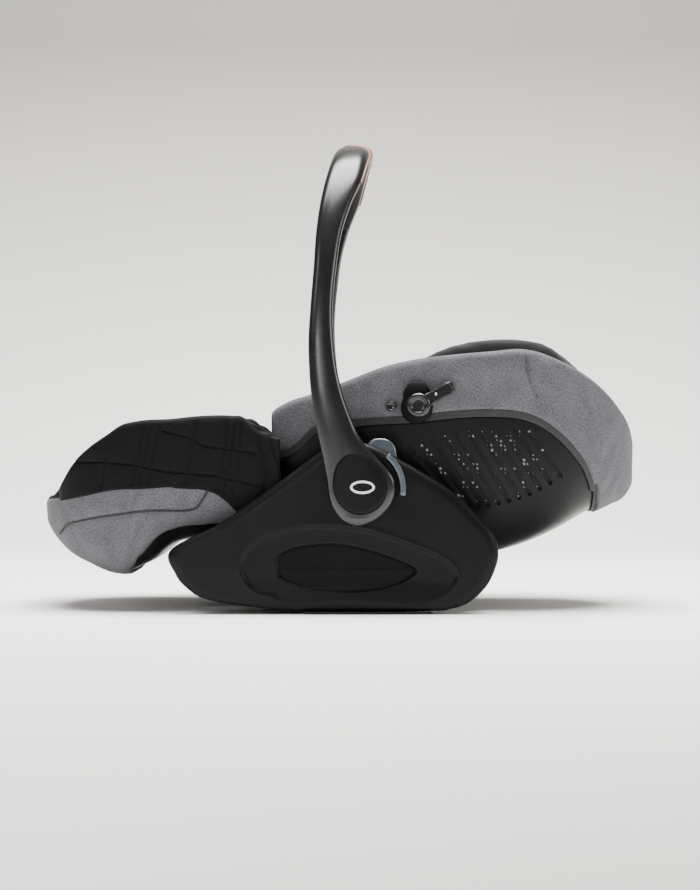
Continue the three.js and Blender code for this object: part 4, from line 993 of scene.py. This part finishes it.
# The rear edges follow the gap to the bucket: x moves by (rear(z) + 101), fading out 70 mm forward.
count = len(quilt.data.vertices)
flat = np.empty(count * 3, np.float32)
quilt.data.vertices.foreach_get("co", flat)
spot = flat.reshape(-1, 3)
local_x, local_z = 1000 * spot[:, 0] - HUB_X, 1000 * spot[:, 2]
rear = np.interp(local_z, [150, 178, 220, 234, 250], [-101, -101, -115, -116.5, -124])
spot[:, 0] += (rear + 101) * ease(-175, -101, local_x) / 1000.0
quilt.data.vertices.foreach_set("co", spot.ravel())
quilt.data.update()
quilt.data.materials.append(quilting)
hang(quilt, "leg_section", "black", "quilted_cover", padded=True)

# ---- Lining and cushions ----------------------------------------------------------------------------
# The bucket's lining is 17 mm wadding in channels sewn across it. Leg cushion, child insert, headrest and
# shoulder pads are soft bags of jersey: each is inflated a little, then its seams are drawn in.
jersey = woven("soft_jersey", ((0.005, 0.005, 0.006), (0.019, 0.0185, 0.022)), 0.12, yarn=1700, rough=0.84)
head_jersey = woven("headrest_jersey", ((0.005, 0.0048, 0.006), (0.016, 0.0155, 0.019)), 0.15, yarn=2000,
    rough=0.80)
inner_rows = 56
low = depth_at(bucket_plan, keel)
top = depth_at(bucket_plan, top_line - 24)
down = even_depths(bucket_plan, low, top, inner_rows)
around = np.linspace(0, math.pi, 11)[1:-1]
rim_f = depth_at({**bucket_plan, "low": bucket_plan["low"][:, None]},
    (top_line - 24)[:, None] + 8.5 * np.sin(around))
lining_f = np.concatenate([down, rim_f, down[:, ::-1]], 1)
channel = np.exp(-(((bucket_plan["u"][:, None] - bucket_plan["u"][len(bucket_plan["u"]) // 2]) % 36 - 18)
    / 3.0) ** 2)
inside_d = -40.0 + 3.6 * channel * np.clip(np.linspace(0, 1, inner_rows) * 3, 0, 1)[None, ::-1] ** 0.5
lining_d = np.concatenate([np.full(down.shape, -22.9),
    np.tile(-31.5 + 8.6 * np.cos(around), (len(top_line), 1)), inside_d], 1)
lining = tub_piece("bucket_lining_cloth", bucket_plan, lining_f, lining_d, keep=bucket_plan["x"] > -66)
lining.data.materials.append(jersey)
hang(lining, "bucket", "black", "bucket_lining", padded=True)


def inflate(piece, cell=0.006, pressure=4.0, stay=0.010, mass=0.3):
    """Turns a closed bag into an even mesh and inflates it as cloth for twenty frames, keeping each
    point within a distance of where it was. The pressure rounds the bag and leaves small folds."""
    mesh = piece.data
    remesh = piece.modifiers.new("even", "REMESH")
    remesh.mode, remesh.voxel_size = "VOXEL", cell
    graph = bpy.context.evaluated_depsgraph_get()
    even = bpy.data.meshes.new_from_object(piece.evaluated_get(graph))
    piece.modifiers.clear()
    piece.data = even
    start = np.empty(len(even.vertices) * 3, np.float32)
    even.vertices.foreach_get("co", start)
    settled = start.copy()
    cloth = piece.modifiers.new("bag", "CLOTH")
    cloth.settings.quality, cloth.settings.mass = 6, mass
    cloth.settings.use_pressure, cloth.settings.uniform_pressure_force = True, pressure
    cloth.settings.tension_stiffness = cloth.settings.compression_stiffness = 12
    cloth.settings.bending_stiffness = 0.6
    cloth.settings.effector_weights.gravity = 0.0
    cloth.point_cache.frame_start, cloth.point_cache.frame_end = 1, 20
    for moment in range(1, 21):
        bpy.context.scene.frame_set(moment)
    graph = bpy.context.evaluated_depsgraph_get()
    graph.update()
    bag = piece.evaluated_get(graph).to_mesh()
    if len(bag.vertices) == len(even.vertices):
        bag.vertices.foreach_get("co", settled)
    piece.evaluated_get(graph).to_mesh_clear()
    piece.modifiers.clear()
    bpy.context.scene.frame_set(1)
    moved = (settled - start).reshape(-1, 3)
    reach = np.linalg.norm(moved, axis=1, keepdims=True)
    moved *= np.minimum(1.0, stay / np.maximum(reach, 1e-9))
    even.vertices.foreach_set("co", (start.reshape(-1, 3) + np.nan_to_num(moved)).ravel())
    even.materials.clear()
    for finish in mesh.materials:
        even.materials.append(finish)
    even.polygons.foreach_set("use_smooth", np.ones(len(even.polygons), bool))
    even.update()
    smooth = piece.modifiers.new("smooth", "SUBSURF")
    smooth.levels = smooth.render_levels = 1
    graph = bpy.context.evaluated_depsgraph_get()
    finished = bpy.data.meshes.new_from_object(piece.evaluated_get(graph))
    piece.modifiers.clear()
    piece.data = finished


def sewn(piece, pull_in):
    """Draws each point of a bag along its normal by pull_in(x, y, z) in millimetres, and lays a flat map
    over it by its largest directions for the cloth."""
    mesh = piece.data
    flat = np.empty(len(mesh.vertices) * 3, np.float32)
    mesh.vertices.foreach_get("co", flat)
    normals = np.array([tuple(vertex.normal) for vertex in mesh.vertices])
    spot = flat.reshape(-1, 3)
    x, y, z = 1000 * spot[:, 0] - HUB_X, 1000 * spot[:, 1], 1000 * spot[:, 2]
    spot = spot - normals * pull_in(x, y, z)[:, None] / 1000.0
    mesh.vertices.foreach_set("co", spot.astype(np.float32).ravel())
    corner = np.empty(len(mesh.loops), np.int32)
    mesh.loops.foreach_get("vertex_index", corner)
    layer = mesh.uv_layers.get("cloth") or mesh.uv_layers.new(name="cloth")
    facing = np.abs(normals)
    flat_on = np.where(facing[:, 1:2] > 0.6, spot[:, [0, 2]],
        np.where(facing[:, 2:3] > 0.5, spot[:, [0, 1]], spot[:, [1, 2]]))
    layer.data.foreach_set("uv", flat_on[corner].astype(np.float32).ravel())
    mesh.update()


def cushion(name, centre, half, round_by=3.2, bend=None):
    """A bag: |x/a|^r + |y/b|^r + |z/c|^r = 1, r being round_by, moved by bend(x, y) along z."""
    across, up = np.linspace(-math.pi, math.pi, 65)[:-1], np.linspace(-math.pi / 2, math.pi / 2, 34)

    def power(value):
        return np.sign(value) * np.abs(value) ** (2 / round_by)

    x = half[0] * power(np.cos(up))[:, None] * power(np.cos(across))
    y = half[1] * power(np.cos(up))[:, None] * power(np.sin(across))
    z = half[2] * power(np.sin(up))[:, None] + 0 * x
    points = np.stack([x, y, z], -1) + centre
    if bend is not None:
        points[..., 2] += bend(points[..., 0], points[..., 1])
    bag = outward(new_mesh(name, points.reshape(-1, 3), cell_faces(34, 64, close_columns=True)))
    bag.data.materials.append(jersey)
    return bag


# The headrest is a horseshoe of wadding that slides with its plastic plate along the bucket.
head_top = ([67, 86, 112, 149, 186, 216, 248, 273, 303],
    [317, 330, 342, 350.5, 353.8, 352.5, 345, 332, 311])
head_plan = tub_plan(([67, 235], [105, 105]),
    ([67, 160, 220, 260, 300, 320], [158, 156, 160, 170, 196, 210]), 67, 235, 301, 2.4, 3.4, spacing=3.2)
head_low = np.interp(head_plan["x"], [67, 150, 185, 320], [214, 206, -50, -50])
head_rim = np.minimum(eased(head_plan["x"], *head_top), TUB_TOP)
headrest = skin("headrest_cushion", head_plan, head_rim, head_low, 0.0, -21.5, rows=30)
headrest.data.materials.append(head_jersey)
inflate(headrest, stay=0.004, pressure=3.0)
sewn(headrest, lambda x, y, z: 2.2 * np.exp(-((np.abs(y) - 62) / 3.0) ** 2) * ease(214, 180, z)
    + crease([(67, 262), (120, 276), (180, 282), (240, 270), (290, 246)], x, z, 2.0, 3.2))
hang(headrest, "headrest", "dark", "headrest_pad", padded=True)

insert = cushion("insert_cushion", (30, 0, 114.5), (81, 61, 11.5),
    bend=lambda x, y: 0.0006 * (x - 30) ** 2 * 0.4)
inflate(insert, stay=0.003, pressure=3.0)
sewn(insert, lambda x, y, z: 2.4 * np.exp(-(((x + 160) % 27 - 13.5) / 2.6) ** 2) * ease(112, 118, z))
hang(insert, "bucket", "dark", "child_insert", padded=True)
soles = skin("leg_pad", leg_plan, np.minimum(leg_rim - 92, 138.0), np.full(len(leg_x), -50.0), -20.6,
    -35.0, rows=34)
soles.data.materials.append(jersey)
inflate(soles, cell=0.007, stay=0.003, pressure=3.0)
sewn(soles, lambda x, y, z: 2.4 * np.exp(-(((x + 600) % 44 - 22) / 3.0) ** 2) * ease(-2, 0, z))
hang(soles, "leg_section", "black", "leg_cushion", padded=True)

# ---- Canopy brackets ------------------------------------------------------------------------------
# On each side a glossy moulded arm swings on a knob screwed through the cover. A plain canopy, not
# fitted here, would clip on its tip. A press stud in front of it holds the canopy's hem.
gloss_plastic = moulded("gloss_plastic", (0.012, 0.012, 0.013), 0.16, size=0.0015, height=0.000004,
    wander=0.04)
KNOB = np.array([74.0, 263.0])
ARM_TURN = math.radians(29.5)


def turned(profile, centre, side, count=56):
    """A profile of (radius, y) turned round an axis along Y at a centre (x, z), closed at both ends."""
    turn = np.linspace(0, 2 * math.pi, count, endpoint=False)
    r, y = np.asarray(profile, float).T
    rings = np.stack(np.broadcast_arrays(centre[0] + r[:, None] * np.cos(turn), side * y[:, None],
        centre[1] + r[:, None] * np.sin(turn)), -1)
    return rings


forward = np.array([math.cos(ARM_TURN), math.sin(ARM_TURN)])
upward = np.array([-math.sin(ARM_TURN), math.cos(ARM_TURN)])
arm_rows = [(0, 8.6), (18, 8.0), (34, 7.9), (43, 8.0), (48.2, 7.0), (50.8, 4.0), (51.3, 0.0)]
arm_shape = np.array([KNOB + forward * u + upward * v for u, v in arm_rows]
    + [KNOB + forward * u - upward * v for u, v in arm_rows[-2::-1]])
arm_outline = spline(arm_shape, 150)
for side_name, side in (("left", -1.0), ("right", 1.0)):
    base_plate = closed_tube(f"canopy_base_{side_name}",
        turned([(0.4, 160), (16, 160), (17.6, 161.5), (17.8, 174), (16.6, 175.9), (0.4, 176.0)],
        KNOB + (-1.5, 12.5), side))
    boss = closed_tube(f"canopy_boss_{side_name}",
        turned([(0.4, 160), (18.6, 160), (20, 161.5), (20.2, 173.4), (18.6, 175.6), (0.4, 176.0)],
        KNOB + (-2, -3), side))
    screw = closed_tube(f"canopy_screw_{side_name}",
        turned([(0.4, 172), (5.8, 172), (5.8, 184.6), (5.0, 185.4), (3.0, 185.5), (2.6, 184.2),
        (0.4, 184.2)], KNOB, side, 40))
    for piece in (base_plate, boss, screw):
        piece.data.materials.append(inner_plastic if piece is not screw else bright_steel)
        hang(piece, "bucket", "insert")
    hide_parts(f"canopy_mount_{side_name}")
    knob = closed_tube(f"canopy_knob_{side_name}",
        turned([(6.4, 177), (13.6, 177), (15.3, 178.4), (15.6, 181), (15.6, 185.5), (15.0, 188),
        (13.0, 189.6), (10.5, 189.9), (9.4, 189.0), (8.6, 187.4), (6.4, 187.2)], KNOB, side, 72))
    arm_piece = pillow(f"canopy_lever_{side_name}", arm_outline, lambda x, z: side * 184.2 + 0 * x,
        side * 177.0, rim=(2.4, 2.2), rings=10)
    ridge = edge_strip(f"canopy_ridge_{side_name}",
        np.insert(spline(arm_shape[1:-1] * 0.86 + (KNOB + forward * 26) * 0.14, 90, closed=False), 1,
        side * 184.0, axis=1), np.tile([0.0, side, 0.0], (90, 1)), oblong(0.7, 0.6, 0.2, 10, 2.0))
    rivet = closed_tube(f"canopy_rivet_{side_name}",
        turned([(0.2, 183), (1.9, 183), (1.8, 184.9), (1.2, 185.6), (0.2, 185.9)],
        KNOB + forward * 26 + upward * 1.5, side, 20))
    for piece, finish in ((knob, gloss_plastic), (arm_piece, gloss_plastic), (ridge, gloss_plastic),
            (rivet, bright_steel)):
        piece.data.materials.append(finish)
        hang(piece, f"canopy_arm_{side_name}", "insert")
    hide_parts(f"canopy_arm_{side_name}")
    stud = closed_tube(f"press_ring_{side_name}",
        turned([(0.3, 157), (6.2, 157), (6.9, 158), (6.9, 166.6), (6.2, 167.9), (4.9, 168.1), (4.3, 167.2),
        (3.6, 166.8), (0.3, 167.2)], (40, 262), side, 44))
    stud.data.materials.append(gloss_plastic)
    hang(stud, "bucket", "insert", f"press_stud_{side_name}")

# ---- Harness ----------------------------------------------------------------------------------------
# Five-point harness of polyester webbing, 25 mm wide at the shoulders and 38 mm at the crotch. Padded
# sleeves cover the shoulder straps, and two steel tongues click into a buckle with a red button.
webbing, shader, nodes, link = node_graph("webbing")
shader.inputs["Roughness"].default_value = 0.72
shader.inputs["Sheen Weight"].default_value = 0.25
place = nodes.new("ShaderNodeTexCoord")
ribs = nodes.new("ShaderNodeTexWave")
ribs.bands_direction = "X"
ribs.inputs["Scale"].default_value, ribs.inputs["Distortion"].default_value = 260.0, 0.4
tone = nodes.new("ShaderNodeValToRGB")
tone.color_ramp.elements[0].color = (0.010, 0.010, 0.011, 1)
tone.color_ramp.elements[1].color = (0.035, 0.035, 0.038, 1)
bump = nodes.new("ShaderNodeBump")
bump.inputs["Strength"].default_value, bump.inputs["Distance"].default_value = 0.6, 0.0003
link(place.outputs["Object"], ribs.inputs["Vector"])
link(ribs.outputs["Fac"], tone.inputs["Fac"])
link(tone.outputs["Color"], shader.inputs["Base Color"])
link(ribs.outputs["Fac"], bump.inputs["Height"])
link(bump.outputs["Normal"], shader.inputs["Normal"])
red_plastic = moulded("red_plastic", (0.42, 0.012, 0.010), 0.30, size=0.001, height=0.00001)


def eased_copy(node, finish, body, slot_name, radius):
    """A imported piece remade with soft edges: its triangles are merged, flat ones joined into faces, and
    every edge sharper than 30 degrees gets a small round."""
    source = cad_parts[node].data
    shape = bmesh.new()
    shape.from_mesh(source)
    bmesh.ops.remove_doubles(shape, verts=shape.verts, dist=2e-6)
    bmesh.ops.dissolve_limit(shape, angle_limit=math.radians(1.5), verts=shape.verts, edges=shape.edges)
    mesh = bpy.data.meshes.new(f"{node}_moulding")
    shape.to_mesh(mesh)
    shape.free()
    piece = bpy.data.objects.new(mesh.name, mesh)
    bpy.context.scene.collection.objects.link(piece)
    soften = piece.modifiers.new("edges", "BEVEL")
    soften.width, soften.segments, soften.limit_method = radius, 3, "ANGLE"
    soften.angle_limit, soften.harden_normals = math.radians(30), False
    graph = bpy.context.evaluated_depsgraph_get()
    piece.data = bpy.data.meshes.new_from_object(piece.evaluated_get(graph))
    piece.modifiers.clear()
    piece.data.polygons.foreach_set("use_smooth", np.ones(len(piece.data.polygons), bool))
    piece.data.set_sharp_from_angle(angle=math.radians(38))
    piece.data.materials.clear()
    piece.data.materials.append(finish)
    hang(piece, body, slot_name, node)


eased_copy("buckle", inner_plastic, "bucket", "insert", 0.0010)
eased_copy("buckle_button", red_plastic, "buckle_button", "red", 0.0014)
finish_node("crotch_strap", webbing)
for side_name, side in (("left", -1.0), ("right", 1.0)):
    finish_node(f"shoulder_strap_{side_name}", webbing)
    finish_node(f"lap_strap_{side_name}", webbing)
    eased_copy(f"buckle_tongue_{side_name}", bright_steel, "bucket", "steel", 0.0008)
    pad = cushion(f"shoulder_sleeve_{side_name}", (49, side * 38, 133.6), (48.5, 19, 4.6), round_by=4.0)
    inflate(pad, cell=0.004, stay=0.002, pressure=2.0, mass=0.2)
    sewn(pad, lambda x, y, z: 0.9 * np.exp(-((np.abs(np.abs(y) - 38) - 15) / 0.9) ** 2) * ease(134, 135, z))
    hang(pad, "bucket", "black", f"shoulder_pad_{side_name}", padded=True)

# ---- Pan, lever and small parts -----------------------------------------------------------------------
# The pan that joins the side shells, its two steel lock bars, the recline lever under the bucket
# and the headrest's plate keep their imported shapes, with moulded edges and finishes.
for node, finish, body, slot_name, radius in (("base_pan", shell_plastic, "base", "shell", 0.0015),
        ("recline_lever", smoky, "recline_lever", "accent", 0.0022),
        ("lever_bracket", inner_plastic, "bucket", "shell", 0.001),
        ("headrest_plate", shell_plastic, "headrest", "shell", 0.0008)):
    eased_copy(node, finish, body, slot_name, radius)
for node in ("lock_bar_front", "lock_bar_rear"):
    finish_node(node, bright_steel)
